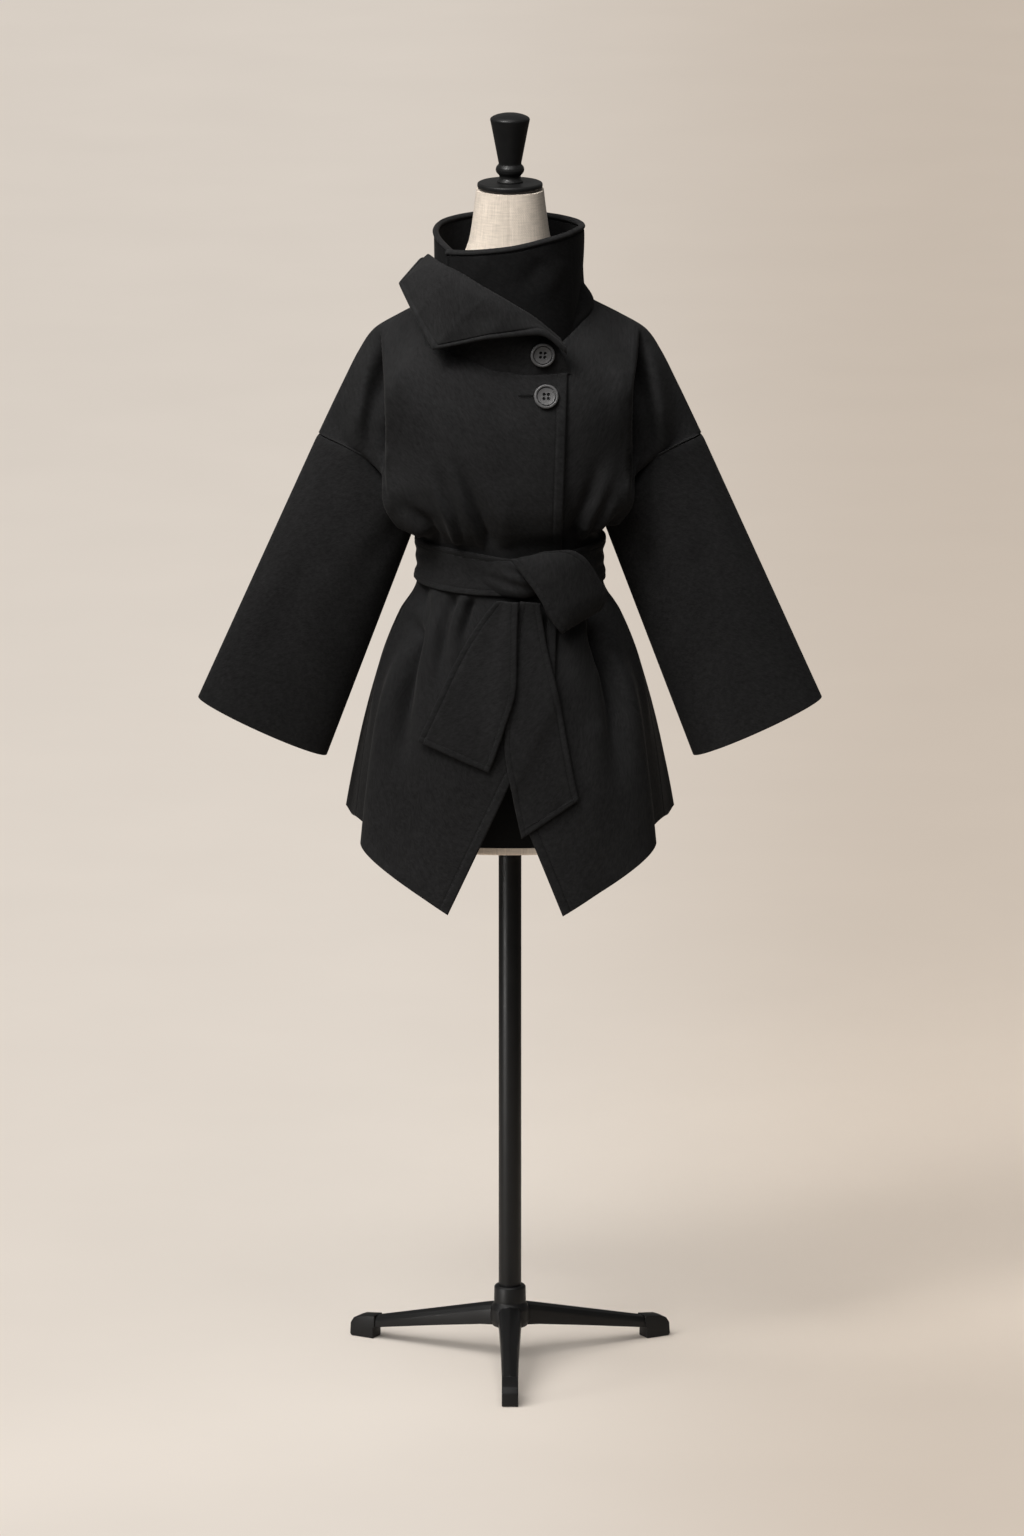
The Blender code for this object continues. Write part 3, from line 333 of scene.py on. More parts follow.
Trim = namedtuple("Trim", "across rows")
NECK_RIGHT = [Trim(-1.2, 1.05), Trim(0, 0.0), Trim(1, 0.25), Trim(2, 0.75), Trim(3, 0.5), Trim(4, 0.0)]
NECK_LEFT = [Trim(-1.2, 1.05), Trim(0, 0.0), Trim(4, 0.0)]
TRIM_FADE_ROWS = 6.0
COAT_WALL, COLLAR_WALL, BELT_WALL = 2.5, 5.0, 4.0
LAP_STEP = COAT_WALL + 2.9
ARMHOLE_MID = Side(180, 7, 1295)
ARMHOLE_HALF_DEPTH, CUFF_HALF_DEPTH = 50, 43
CUFF_OUTER, CUFF_INNER = Side(436, 2, 959), Side(258, 2, 877)
SLEEVE_START = 0.003
print("levels from neck to hem:", len(FRONT), "in front,", len(BACK), "behind")

# %% [markdown]
# Reading a table between its rows needs a curve that never swings past a row, or the waist would
# bulge. A monotone cubic does that down the coat. Across the coat a plain smooth curve through the
# key points is better, because there a little swing gives the soft turn of cloth.

# %% Curves through the tables
def table(rows):
    return np.array(rows, float)


def columns(*parts):
    return np.stack(np.broadcast_arrays(*parts), axis=-1).astype(float)


def smooth(low, high, value):
    share = np.clip((value - low) / (high - low), 0, 1)
    return share * share * (3 - 2 * share)


def unit(vectors):
    return vectors / np.maximum(np.linalg.norm(vectors, axis=-1, keepdims=True), 1e-9)


def hermite(p0, p1, m0, m1, s):
    s2, s3 = s * s, s * s * s
    return (2 * s3 - 3 * s2 + 1) * p0 + (s3 - 2 * s2 + s) * m0 + (3 * s2 - 2 * s3) * p1 + (s3 - s2) * m1


def along_rows(rows, spans, v):
    steps = np.diff(rows, axis=0) / spans[:, None]
    before, after = steps[:-1], steps[1:]
    near, far = (2 * spans[1:] + spans[:-1])[:, None], (spans[1:] + 2 * spans[:-1])[:, None]
    turning = before * after <= 0
    safe = np.where(turning, 1.0, near * after + far * before)
    inner = np.where(turning, 0.0, (near + far) * before * after / safe)
    slope = np.vstack([steps[:1], inner, steps[-1:]])
    i = np.clip(v.astype(int), 0, len(rows) - 2)
    h = spans[i][:, None]
    return hermite(rows[i], rows[i + 1], slope[i] * h, slope[i + 1] * h, (v - i)[:, None])


def through(keys, a):
    spans = np.maximum(np.linalg.norm(np.diff(keys, axis=1), axis=2), 1e-6)[..., None]
    steps = np.diff(keys, axis=1) / spans
    slope = (steps[:, :-1] * spans[:, 1:] + steps[:, 1:] * spans[:, :-1]) / (spans[:, :-1] + spans[:, 1:])
    i = np.clip(a.astype(int), 0, keys.shape[1] - 4)
    n = np.arange(len(a))
    h = spans[n, i + 1]
    s = (a - i)[:, None]
    return hermite(keys[n, i + 1], keys[n, i + 2], slope[n, i] * h, slope[n, i + 1] * h, s)


def spans_of(rows, column):
    return np.maximum(np.abs(np.diff(rows[:, column])), 8.0)


FRONT_ROWS, BACK_ROWS = table(FRONT), table(BACK)
SHOULDER_ROWS, SEAM_ROWS = table(SHOULDER), table(SIDE_SEAM)
FRONT_SPANS, BACK_SPANS = spans_of(FRONT_ROWS, 0), spans_of(BACK_ROWS, 0)
SHOULDER_SPANS, SEAM_SPANS = spans_of(SHOULDER_ROWS, 2), spans_of(SEAM_ROWS, 2)
print("front length at the centre", FRONT_SPANS.sum(), "mm")

# %% [markdown]
# The sleeve is a flattened tube from the armhole to the cuff, and the side of the body follows the
# armhole's edge where the sleeve is sewn in. So the sleeve comes first, and the body's sections end
# on it. The front and the back each get a half section that the other side mirrors.

# %% Points of the sleeve and the body
def sleeve_point(turn, t):
    share = ((1 - np.cos(turn)) / 2)[:, None]
    t = np.broadcast_to(t, turn.shape)[:, None]
    top, under = table(SHOULDER[-1]), table(SIDE_SEAM[0])
    outer = top + (table(CUFF_OUTER) - top) * t
    inner = under + (table(CUFF_INNER) - under) * t
    bow = (table(ARMHOLE_MID) - (top + under) / 2) * (1 - t) ** 2
    points = outer + (inner - outer) * share + 4 * share * (1 - share) * bow
    depth = ARMHOLE_HALF_DEPTH + (CUFF_HALF_DEPTH - ARMHOLE_HALF_DEPTH) * t[:, 0]
    points[:, 1] -= depth * np.sin(turn)
    return points


def armhole_turn(v):
    return np.pi * (np.clip(v, SEAM_TOP_ROW, UNDERARM_ROW) - SEAM_TOP_ROW) / (UNDERARM_ROW - SEAM_TOP_ROW)


def side_point(v, back):
    upper = along_rows(SHOULDER_ROWS, SHOULDER_SPANS, np.clip(v, 0, SEAM_TOP_ROW))
    lower = along_rows(SEAM_ROWS, SEAM_SPANS, np.clip(v, UNDERARM_ROW, HEM_ROW) - UNDERARM_ROW)
    turn = armhole_turn(v)
    hole = sleeve_point(2 * np.pi - turn if back else turn, 0.0)
    return np.where((v < SEAM_TOP_ROW)[:, None], upper, np.where((v > UNDERARM_ROW)[:, None], lower, hole))


def halfway(first, second, recess):
    run = second - first
    inward = unit(columns(-run[:, 1], run[:, 0], 0 * recess))
    return (first + second) / 2 + inward * recess[:, None]


def body_keys(v):
    z, depth, corner_z, corner_x, corner_y, recess = along_rows(FRONT_ROWS, FRONT_SPANS, v).T
    front_side = side_point(v, False)
    front_corner = columns(corner_x, -corner_y, corner_z)
    mid_z = z + MID_Z * (corner_z - z)
    front_mid = columns(MID_X * corner_x, -(corner_y + MID_Y * (depth - corner_y)), mid_z)
    front_centre = columns(0, -depth, z)
    front_hollow = halfway(front_corner, front_side, recess)
    z, depth, corner_x, corner_y, recess = along_rows(BACK_ROWS, BACK_SPANS, v).T
    back_side = side_point(v, True)
    corner_z = (z + back_side[:, 2]) / 2
    back_corner = columns(corner_x, corner_y, corner_z)
    mid_z = z + MID_Z * (corner_z - z)
    back_mid = columns(MID_X * corner_x, corner_y + MID_Y * (depth - corner_y), mid_z)
    back_centre = columns(0, depth, z)
    back_hollow = halfway(back_side, back_corner, recess)
    split = np.sin(armhole_turn(v))[:, None]
    past_front = back_hollow * (1 - split) + (2 * front_side - front_hollow) * split
    past_back = front_hollow * (1 - split) + (2 * back_side - back_hollow) * split
    flip = np.array([-1, 1, 1])
    front = [front_mid * flip, front_centre, front_mid, front_corner, front_hollow, front_side, past_front]
    back = [back_mid * flip, back_centre, back_mid, back_corner, back_hollow, back_side, past_back]
    return np.stack(front, axis=1), np.stack(back, axis=1)


def front_point(a, v, trim):
    trim = table(trim)
    drop = np.interp(a, trim[:, 0], trim[:, 1])
    v = v + drop * np.clip(1 - v / TRIM_FADE_ROWS, 0, 1)
    points = through(body_keys(v)[0], np.abs(a))
    points[:, 0] *= np.where(a < 0, -1, 1)
    return points


def back_point(a, v):
    points = through(body_keys(v)[1], np.abs(a))
    points[:, 0] *= np.where(a < 0, -1, 1)
    return points


def facing(point_at, a, v, sign):
    step = 0.01
    across = point_at(np.minimum(a + step, 4.0), v) - point_at(np.maximum(a - step, -4.0), v)
    down = point_at(a, np.minimum(v + step, HEM_ROW)) - point_at(a, np.maximum(v - step, 0.0))
    return unit(np.cross(down, across)) * sign


print("half width at the hem", side_point(np.array([float(HEM_ROW)]), False)[0, 0].round(), "mm")

# %% [markdown]
# Folds and creases are what make a surface read as cloth. A simulation would place them anywhere, so
# they are drawn where the photograph has them: each is a path with a height and a width, deep
# where the belt gathers the cloth and dying away from it. On the back, which the photograph does not
# show, they are uneven in the same way. The broad folds are also in the solids.

# %% Folds and creases
Fold = namedtuple("Fold", "x0 z0 x1 z1 height width0 width1")
FOLDS_RIGHT = [
    Fold(30, 1196, 78, 1330, -4.5, 16, 24),
    Fold(62, 1197, 98, 1300, 4.5, 16, 26),
    Fold(90, 1198, 120, 1290, -4.5, 15, 24),
    Fold(60, 1127, 70, 940, -5, 15, 24),
    Fold(84, 1127, 96, 900, 6, 15, 28),
    Fold(106, 1127, 124, 880, -6, 14, 24),
]
FOLDS_LEFT = [
    Fold(94, 1198, 128, 1300, -5, 15, 24),
    Fold(104, 1200, 140, 1280, 4, 12, 18),
    Fold(88, 1127, 112, 930, 6, 15, 26),
    Fold(112, 1127, 140, 900, -7, 14, 26),
]
FOLDS_BACK = [
    Fold(34, 1197, 52, 1310, -5, 13, 24),
    Fold(70, 1197, 108, 1320, -6, 14, 26),
    Fold(52, 1197, 78, 1300, 5, 14, 26),
    Fold(30, 1126, 52, 900, -6, 16, 40),
    Fold(58, 1126, 96, 860, 7, 16, 44),
    Fold(88, 1126, 150, 850, -7, 16, 40),
]
Crease = namedtuple("Crease", "height width path lean", defaults=(0,))
CREASES_FRONT = [
    Crease(6.5, 5.5, [(-31, 1194), (-48, 1240), (-66, 1290), (-88, 1356)], -1),
    Crease(-2.5, 9, [(-22, 1196), (-36, 1240), (-52, 1290), (-66, 1330)]),
    Crease(5.5, 5, [(-66, 1196), (-80, 1245), (-97, 1284), (-114, 1340)], -1),
    Crease(-9.0, 7, [(-98, 1196), (-116, 1233), (-143, 1253), (-168, 1263)]),
    Crease(5.0, 9, [(-120, 1208), (-140, 1234), (-162, 1242)]),
    Crease(6.5, 7, [(94, 1194), (105, 1236), (120, 1272), (140, 1340)], 1),
    Crease(5.0, 6, [(112, 1196), (132, 1238), (152, 1290)], 1),
    Crease(-8.0, 7, [(120, 1198), (144, 1224), (172, 1246)]),
    Crease(-4.0, 8, [(84, 1195), (87, 1240), (88, 1310)]),
    Crease(3.2, 11, [(-4, 1195), (-8, 1236), (-24, 1296)]),
    Crease(-7.0, 7, [(-116, 1134), (-126, 1105), (-134, 1070)]),
    Crease(-26.0, 11, [(-130, 1098), (-137, 1060), (-144, 1025), (-150, 963), (-155, 850)]),
    Crease(7.0, 7, [(-101, 1133), (-106, 1090), (-109, 1060), (-113, 990)]),
    Crease(-13.0, 8, [(-74, 1130), (-83, 1110), (-90, 1080), (-95, 1040), (-98, 980)]),
    Crease(6.0, 7, [(-60, 1130), (-70, 1100), (-78, 1050)]),
    Crease(-9.0, 6, [(-50, 1126), (-58, 1108), (-66, 1080), (-72, 1050)]),
    Crease(9.0, 14, [(-134, 1124), (-158, 1080), (-172, 1030), (-186, 960), (-200, 840)]),
    Crease(-7.0, 7, [(98, 1134), (111, 1098), (122, 1066)]),
    Crease(-26.0, 11, [(116, 1096), (130, 1060), (142, 1020), (149, 971), (155, 840)]),
    Crease(10.0, 13, [(120, 1131), (148, 1085), (166, 1030), (182, 960), (198, 840)]),
    Crease(-9.0, 7, [(84, 1127), (90, 1098), (96, 1050)]),
    Crease(6.0, 7, [(95, 1129), (104, 1098), (112, 1050)]),
    Crease(4.0, 18, [(118, 960), (124, 870), (130, 750)]),
]
CREASES_BACK = [
    Crease(-7.5, 6, [(-88, 1198), (-104, 1240), (-128, 1290)]),
    Crease(-8.8, 6, [(-48, 1198), (-58, 1250), (-76, 1340)]),
    Crease(5.8, 8, [(-30, 1198), (-40, 1248), (-48, 1310)]),
    Crease(-6.8, 5, [(8, 1198), (6, 1232), (14, 1290)]),
    Crease(-9.2, 7, [(44, 1198), (60, 1244), (70, 1330)]),
    Crease(6.1, 7, [(66, 1198), (84, 1250), (98, 1306)]),
    Crease(-7.8, 6, [(96, 1200), (118, 1232), (144, 1262)]),
    Crease(-9.5, 8, [(-92, 1126), (-118, 1060), (-140, 940)]),
    Crease(7.5, 8, [(-70, 1126), (-84, 1070), (-94, 970)]),
    Crease(-8.2, 7, [(-44, 1126), (-52, 1080), (-54, 980)]),
    Crease(-6.1, 5, [(-8, 1126), (-6, 1090), (-12, 1010)]),
    Crease(-9.9, 8, [(34, 1126), (40, 1070), (52, 930)]),
    Crease(6.8, 7, [(54, 1126), (66, 1080), (78, 1000)]),
    Crease(-7.5, 7, [(80, 1126), (104, 1072), (130, 980)]),
]


def fold_height(x, z, folds):
    total = np.zeros_like(x)
    for fold in folds:
        share = (z - fold.z0) / (fold.z1 - fold.z0)
        middle = fold.x0 + (fold.x1 - fold.x0) * np.clip(share, 0, 1)
        width = fold.width0 + (fold.width1 - fold.width0) * np.clip(share, 0, 1)
        fade = smooth(0, 0.14, share) * (1 - smooth(0.25, 1, share))
        total += fold.height * fade * np.exp(-(((x - middle) / width) ** 2))
    return total


def crease_height(x, z, creases):
    total = np.zeros_like(x)
    for crease in creases:
        path = table(crease.path)
        legs = np.diff(path, axis=0)
        lengths = np.linalg.norm(legs, axis=1)
        before = np.concatenate([[0], np.cumsum(lengths)])
        off, share, left = np.full_like(x, 1e9), np.zeros_like(x), np.ones_like(x)
        for start, leg, length, run in zip(path, legs, lengths, before):
            along = np.clip(((x - start[0]) * leg[0] + (z - start[1]) * leg[1]) / length ** 2, 0, 1)
            away = np.hypot(x - start[0] - along * leg[0], z - start[1] - along * leg[1])
            turn = np.sign(leg[0] * (z - start[1]) - leg[1] * (x - start[0]))
            left = np.where(away < off, turn, left)
            share = np.where(away < off, (run + along * length) / before[-1], share)
            off = np.minimum(off, away)
        q = off / (crease.width * (0.85 + 0.7 * share))
        fade = smooth(0, 0.12, share) * (1 - smooth(0.4, 1, share))
        stepped = -crease.lean * left * q * np.exp(0.5 - q ** 2 / 2)
        total += crease.height * fade * (stepped if crease.lean else np.exp(-(q ** 2)))
    return total


print("creases drawn:", len(CREASES_FRONT), "in front,", len(CREASES_BACK), "behind")

# %% [markdown]
# Every cloth piece is made the same way: a grid of points on the middle of the cloth, and a half
# thickness at each point. The wall runs out to nothing in a half round at its edges, as a turned edge
# does, swells a little between the edge and its row of stitches, and dips under the stitches. Solidify
# could give the thickness, but not the rolled edge. The UV map is measured along the cloth in metres.

# %% From a grid to a shell of cloth
def to_world(points):
    return (np.asarray(points) + np.array([0, AXIS_Y, 0])) * MM


def sheet_normals(points, ring=False):
    if ring:
        across = np.roll(points, -1, axis=1) - np.roll(points, 1, axis=1)
    else:
        across = np.gradient(points, axis=1)
    return unit(np.cross(np.gradient(points, axis=0), across))


def run_along(points, axis):
    step = np.linalg.norm(np.diff(points, axis=axis), axis=2)
    return np.concatenate([np.zeros_like(np.take(step, [0], axis)), np.cumsum(step, axis)], axis)


def rounded(half, distance, radius=1.6):
    share = np.clip(distance / radius, 0, 1)
    return half * (0.08 + 0.92 * np.sqrt(np.maximum(1 - (1 - share) ** 2, 0)))


def edge_relief(distance, stitch, swell, groove):
    """Extra half thickness near a stitched edge."""
    bead = swell * smooth(0, 2.5, distance) * (1 - smooth(stitch - 3.5, stitch - 0.4, distance))
    return bead - groove * np.exp(-((distance - stitch) / 1.1) ** 2)


def mesh_piece(name, points, faces, uv, material):
    mesh = bpy.data.meshes.new(name)
    mesh.from_pydata(points.tolist(), [], faces.tolist())
    mesh.polygons.foreach_set("use_smooth", np.ones(len(faces), bool))
    if uv is not None:
        mesh.uv_layers.new(name="cloth").data.foreach_set("uv", uv.ravel())
    mesh.materials.append(material)
    mesh.update()
    piece = bpy.data.objects.new(name, mesh)
    scene.collection.objects.link(piece)
    return piece


def shell(name, points, half, ring=False, out=1, material=WOOL):
    """A closed wall of cloth round a grid of points; out is 1 or -1, the side the normals point to."""
    rows, cols = points.shape[:2]
    normals = sheet_normals(points, ring) * out
    outer, inner = points + normals * half[..., None], points - normals * half[..., None]
    wide = cols + 1 if ring else cols
    closed = np.concatenate([points, points[:, :1]], axis=1) if ring else points
    uv_grid = np.stack([run_along(closed, 1), run_along(closed, 0)], axis=2) * MM
    r, c = (k.ravel() for k in np.meshgrid(np.arange(rows - 1), np.arange(wide - 1), indexing="ij"))
    face_rows, face_cols = np.stack([r, r, r + 1, r + 1], 1), np.stack([c, c + 1, c + 1, c], 1)
    quads = [(face_rows, face_cols, np.zeros((len(r), 4), int))]
    quads.append((face_rows[:, ::-1], face_cols[:, ::-1], np.ones((len(r), 4), int)))
    k = np.arange(wide - 1)
    layers, first = np.tile([0, 0, 1, 1], (len(k), 1)), np.zeros((len(k), 4), int)
    quads.append((first, np.stack([k + 1, k, k, k + 1], 1), layers))
    quads.append((first + rows - 1, np.stack([k, k + 1, k + 1, k], 1), layers))
    if not ring:
        k = np.arange(rows - 1)
        layers, first = np.tile([0, 0, 1, 1], (len(k), 1)), np.zeros((len(k), 4), int)
        quads.append((np.stack([k, k + 1, k + 1, k], 1), first, layers))
        quads.append((np.stack([k + 1, k, k, k + 1], 1), first + cols - 1, layers))
    at_row, at_col, at_layer = (np.concatenate([q[n] for q in quads]) for n in range(3))
    if out > 0:
        at_row, at_col, at_layer = at_row[:, ::-1], at_col[:, ::-1], at_layer[:, ::-1]
    faces = at_layer * rows * cols + at_row * cols + at_col % cols
    corners = to_world(np.concatenate([outer.reshape(-1, 3), inner.reshape(-1, 3)]))
    piece = mesh_piece(name, corners, faces, uv_grid[at_row, at_col], material)
    print(name, "quads", len(faces))
    return piece, outer


def middle_area(points, ring=False):
    """Area of a grid's sheet in square metres."""
    if ring:
        points = np.concatenate([points, points[:, :1]], axis=1)
    first = np.cross(points[1:, :-1] - points[:-1, :-1], points[:-1, 1:] - points[:-1, :-1])
    second = np.cross(points[:-1, 1:] - points[1:, 1:], points[1:, :-1] - points[1:, 1:])
    return float(np.linalg.norm(first, axis=2).sum() + np.linalg.norm(second, axis=2).sum()) / 2 * MM * MM


def lines(length, start, end, pitch):
    """Distances along a length: close lines at the ends, even steps between."""
    start, end = np.array(start, float), np.array(end, float)
    steps = max(2, int(round((length - start[-1] - end[-1]) / pitch)))
    middle = np.linspace(start[-1], length - end[-1], steps + 1)
    return np.concatenate([start[:-1], middle, (length - end[:-1])[::-1]])


def stitched_lines(at):
    """Distances from an edge: the roll of the edge, then close lines round the row of stitches."""
    return [0, 0.2, 0.6, 1.2, 2, 3.2, at - 4, at - 2.4, at - 1.4, at - 0.7, at, at + 0.7, at + 1.4, at + 2.6]


PLAIN_EDGE = [0, 0.2, 0.6, 1.2, 2, 3.5, 6]
PANEL_STITCH = 14.0
SEAM_DIP, SEAM_DIP_WIDTH, NECK_LOWER = 1.3, 4.5, 6.0

# %% [markdown]
# A front is cut from its edge to the side seam, so the columns of its grid are measured from that edge
# on every row. Then the row of stitches keeps its distance all the way down the slanting corner. Both
# fronts get the same creases, and the under one lies a step further in, so they never cross. Beside the
# chest the cloth drops into a deep fold that runs on into the sleeve head, so that fold moves points by
# where they lie, and the sleeve uses the same moves: the two edges of the seam stay together.


# %% Front panels
def edge_across(rows_v, edge, trim):
    edge = table(edge)
    found = []
    for v in rows_v:
        a = np.linspace(-2.4, 2.6, 126)
        points = front_point(a, np.full_like(a, v), trim)
        past = points[:, 0] - np.interp(points[:, 2], edge[:, 0], edge[:, 1])
        k = int(np.argmax(past > 0))
        share = past[k - 1] / (past[k - 1] - past[k])
        found.append(a[k - 1] + (a[k] - a[k - 1]) * share)
    return np.array(found)


def panel_rows():
    """Levels of a panel's grid, close together at the neckline and at the hem."""
    body = [np.linspace(0, 8, 73), np.linspace(8, 12, 49)[1:], np.linspace(12, 15.94, 62)[1:]]
    top, hem = [0.004, 0.012, 0.03], [0, 0.003, 0.007, 0.013, 0.022, 0.036]
    return np.unique(np.concatenate([*body, top, HEM_ROW - np.array(hem)]))


FOLD_LINE = [(1240, 165), (1258, 167), (1298, 170), (1360, 170), (1421, 171.5), (1473, 176), (1500, 180)]
FOLD_FILL = [(1290, 0), (1340, 3), (1400, 13), (1440, 24), (1475, 12), (1495, 0)]
FOLD_DEEP = [(1240, 20), (1300, 40), (1345, 50), (1400, 48), (1430, 36), (1455, 22), (1480, 8), (1495, 0)]
RIDGE_PAST = [(1300, 46), (1360, 42), (1420, 36), (1470, 26)]
SHOULDER_RIDGE, FOLD_UNDERCUT, FOLD_LIP = 24, 9, 3
SHOULDER_EASE_ROUNDS = 90
FRONT_COLUMNS = 112


def chest_fold(points):
    """Moves that make the chest overhang the deep fold beside it, and round the shoulder beyond."""
    x, y, z = points.T
    tables = (FOLD_LINE, FOLD_FILL, RIDGE_PAST, FOLD_DEEP)
    at, fill, past, depth = (np.interp(z, *table(rows).T) for rows in tables)
    s = x - at
    tall = smooth(1245, 1300, z) * (1 - smooth(1464, 1498, z))
    ahead = 1 - smooth(-24, 4, y)
    deep = smooth(1240, 1350, z) * (1 - smooth(1464, 1498, z)) * ahead
    upper = smooth(1300, 1385, z) * (1 - smooth(1450, 1486, z)) * ahead
    chest = -fill * np.exp(-((np.minimum(s, 0) / 24) ** 2)) * (1 - smooth(-3, 4, s))
    ramp = np.clip(1 - np.maximum(s - 4, 0) / past, 0, 1) ** 2
    trough = depth * deep * smooth(-3, 4, s) * ramp
    ridge = -SHOULDER_RIDGE * upper * np.exp(-(((s - past) / 15) ** 2))
    tucked = smooth(0, 6, s) * np.exp(-((np.maximum(s - 6, 0) / 16) ** 2))
    under = -FOLD_UNDERCUT * deep * smooth(1300, 1345, z) * tucked
    lip = FOLD_LIP * tall * np.exp(-(((s + 2) / 4) ** 2))
    return columns(under + lip, chest + trough + ridge, 0 * z)


def softened(grid, weight):
    """Rounds the bend between the rows of a grid where weight is above 0."""
    for _ in range(SHOULDER_EASE_ROUNDS):
        grid[1:-1] += 0.5 * weight[1:-1, :, None] * ((grid[:-2] + grid[2:]) / 2 - grid[1:-1])
    return grid


def front_grid(edge, trim, side, inner_lap, tip_trim):
    """Middle of a front; side is 1 for +X and -1 for the mirrored one."""
    rows_v = panel_rows()
    start = edge_across(rows_v, edge, trim)
    fine = start[:, None] + (SEAM_END - start[:, None]) * np.linspace(0, 1, 141)[None, :]
    v = np.broadcast_to(rows_v[:, None], fine.shape)
    run = run_along(front_point(fine.ravel(), v.ravel(), trim).reshape(*fine.shape, 3), 1)
    near, far = stitched_lines(PANEL_STITCH), PLAIN_EDGE
    a, seam_gap = [], []
    for row in range(len(rows_v)):
        spread = np.linspace(near[-1], run[row, -1] - far[-1], FRONT_COLUMNS)
        wanted = np.concatenate([near[:-1], spread, (run[row, -1] - np.array(far[:-1]))[::-1]])
        a.append(np.interp(wanted, run[row], fine[row]))
        seam_gap.append(run[row, -1] - wanted)
    a = np.array(a)
    v = np.broadcast_to(rows_v[:, None], a.shape)
    v = v - tip_trim * smooth(12, 16, v) * (1 - smooth(0.4, 2.2, a))
    flat_a, flat_v = a.ravel(), v.ravel().astype(float)
    points = front_point(flat_a, flat_v, trim)
    normals = facing(lambda p, w: front_point(p, w, trim), flat_a, flat_v, 1)
    gap = np.array(seam_gap).ravel()
    ease = smooth(3.4, 4.4, v) * (1 - smooth(6.0, 6.8, v)) * smooth(2.4, 3.0, a)
    ease = ease * smooth(0, 14, gap).reshape(a.shape)
    points = softened(points.reshape(*a.shape, 3), ease).reshape(-1, 3)
    points = points + chest_fold(points)
    x = points[:, 0] * side
    lift = fold_height(-x, points[:, 2], FOLDS_RIGHT) + fold_height(x, points[:, 2], FOLDS_LEFT)
    lift += crease_height(x, points[:, 2], CREASES_FRONT)
    armhole = smooth(4.9, 5.3, flat_v) * (1 - smooth(7.6, 8.1, flat_v))
    lift -= SEAM_DIP * armhole * np.exp(-((gap / SEAM_DIP_WIDTH) ** 2))
    lift *= 1 - smooth(7.8, 8.4, flat_v) * (1 - smooth(0, 28, gap))
    lift -= inner_lap * (1 - smooth(1.6, 3.6, flat_a)) * (1 + 0.6 * smooth(0, 0.6, -flat_a))
    points = (points + normals * lift[:, None]) * np.array([side, 1, 1])
    if side < 0:
        points[:, 2] -= NECK_LOWER * (1 - smooth(0.3, 2.2, flat_a)) * (1 - smooth(0, 1.5, flat_v))
    return points.reshape(*a.shape, 3)


def panel_half(points, edge_stitch):
    from_edge, from_top = run_along(points, 1), run_along(points, 0)
    to_side, to_hem = from_edge[:, -1:] - from_edge, from_top[-1:] - from_top
    half = np.full(points.shape[:2], COAT_WALL / 2)
    if edge_stitch:
        half += edge_relief(from_edge, PANEL_STITCH, 0.75, 0.65)
        half += edge_relief(from_top, 7, 0.9, 0.3)
    for distance in (from_edge, to_side, to_hem, from_top):
        half = rounded(half, distance)
    return half


right_mid = front_grid(EDGE_RIGHT, NECK_RIGHT, -1, 0.0, 0.0)
left_mid = front_grid(EDGE_LEFT, NECK_LEFT, 1, LAP_STEP, 0.04)
front_right, right_outer = shell("coat_front_right", right_mid, panel_half(right_mid, True), out=-1)
front_left, left_outer = shell("coat_front_left", left_mid, panel_half(left_mid, True))

# %% [markdown]
# The back is one panel, with the shoulder and side seams at its edges. It is never seen in the
# photograph, so its creases are invented: gathers above and below the belt, uneven on the two sides.


# %% Back panel
MM_ACROSS, HEM_RISE = 60, 11


def back_grid():
    rows_v = panel_rows()
    across = lines(2 * SEAM_END * MM_ACROSS, PLAIN_EDGE, PLAIN_EDGE, 3.2) / MM_ACROSS - SEAM_END
    a, v = np.meshgrid(across, rows_v)
    flat_a, flat_v = a.ravel(), v.ravel()
    points = back_point(flat_a, flat_v)
    normals = facing(back_point, flat_a, flat_v, -1)
    lift = fold_height(np.abs(points[:, 0]), points[:, 2], FOLDS_BACK)
    lift += crease_height(points[:, 0], points[:, 2], CREASES_BACK)
    lift *= 1 - smooth(7.8, 8.4, flat_v) * smooth(3.5, 4, np.abs(flat_a))
    points = points + normals * lift[:, None]
    beside = np.exp(-(((np.abs(flat_a) - 2.1) / 0.75) ** 2))
    points[:, 2] += HEM_RISE * smooth(14.6, 16, flat_v) * beside
    return points.reshape(*a.shape, 3)


back_mid = back_grid()
back, _ = shell("coat_back", back_mid, panel_half(back_mid, False), out=-1)

# %% [markdown]
# The sleeves are plain wide tubes that hang almost flat. They keep a soft hollow down the front and a
# few faint drag lines from the underarm. The cuff is cut square across the tube and turned in.

# %% Sleeves
SLEEVE_LENGTH, SLEEVE_TURNS, DRAG_STRETCH = 420, 132, 2.2
Drag = namedtuple("Drag", "height width path")
DRAGS = [
    Drag(-2.6, 0.20, [(2.5, 0.02), (2.1, 0.22), (1.7, 0.55)]),
    Drag(2.0, 0.20, [(2.1, 0.03), (1.75, 0.25), (1.4, 0.60)]),
    Drag(-2.2, 0.22, [(1.3, 0.30), (1.2, 0.62), (1.25, 0.95)]),
    Drag(1.8, 0.20, [(0.7, 0.10), (0.75, 0.45), (0.8, 0.9)]),
    Drag(-2.4, 0.20, [(3.8, 0.02), (4.2, 0.25), (4.6, 0.6)]),
    Drag(2.0, 0.22, [(4.3, 0.05), (4.7, 0.35), (5.0, 0.7)]),
    Drag(-2.0, 0.2, [(5.3, 0.2), (5.2, 0.6), (5.1, 0.95)]),
]


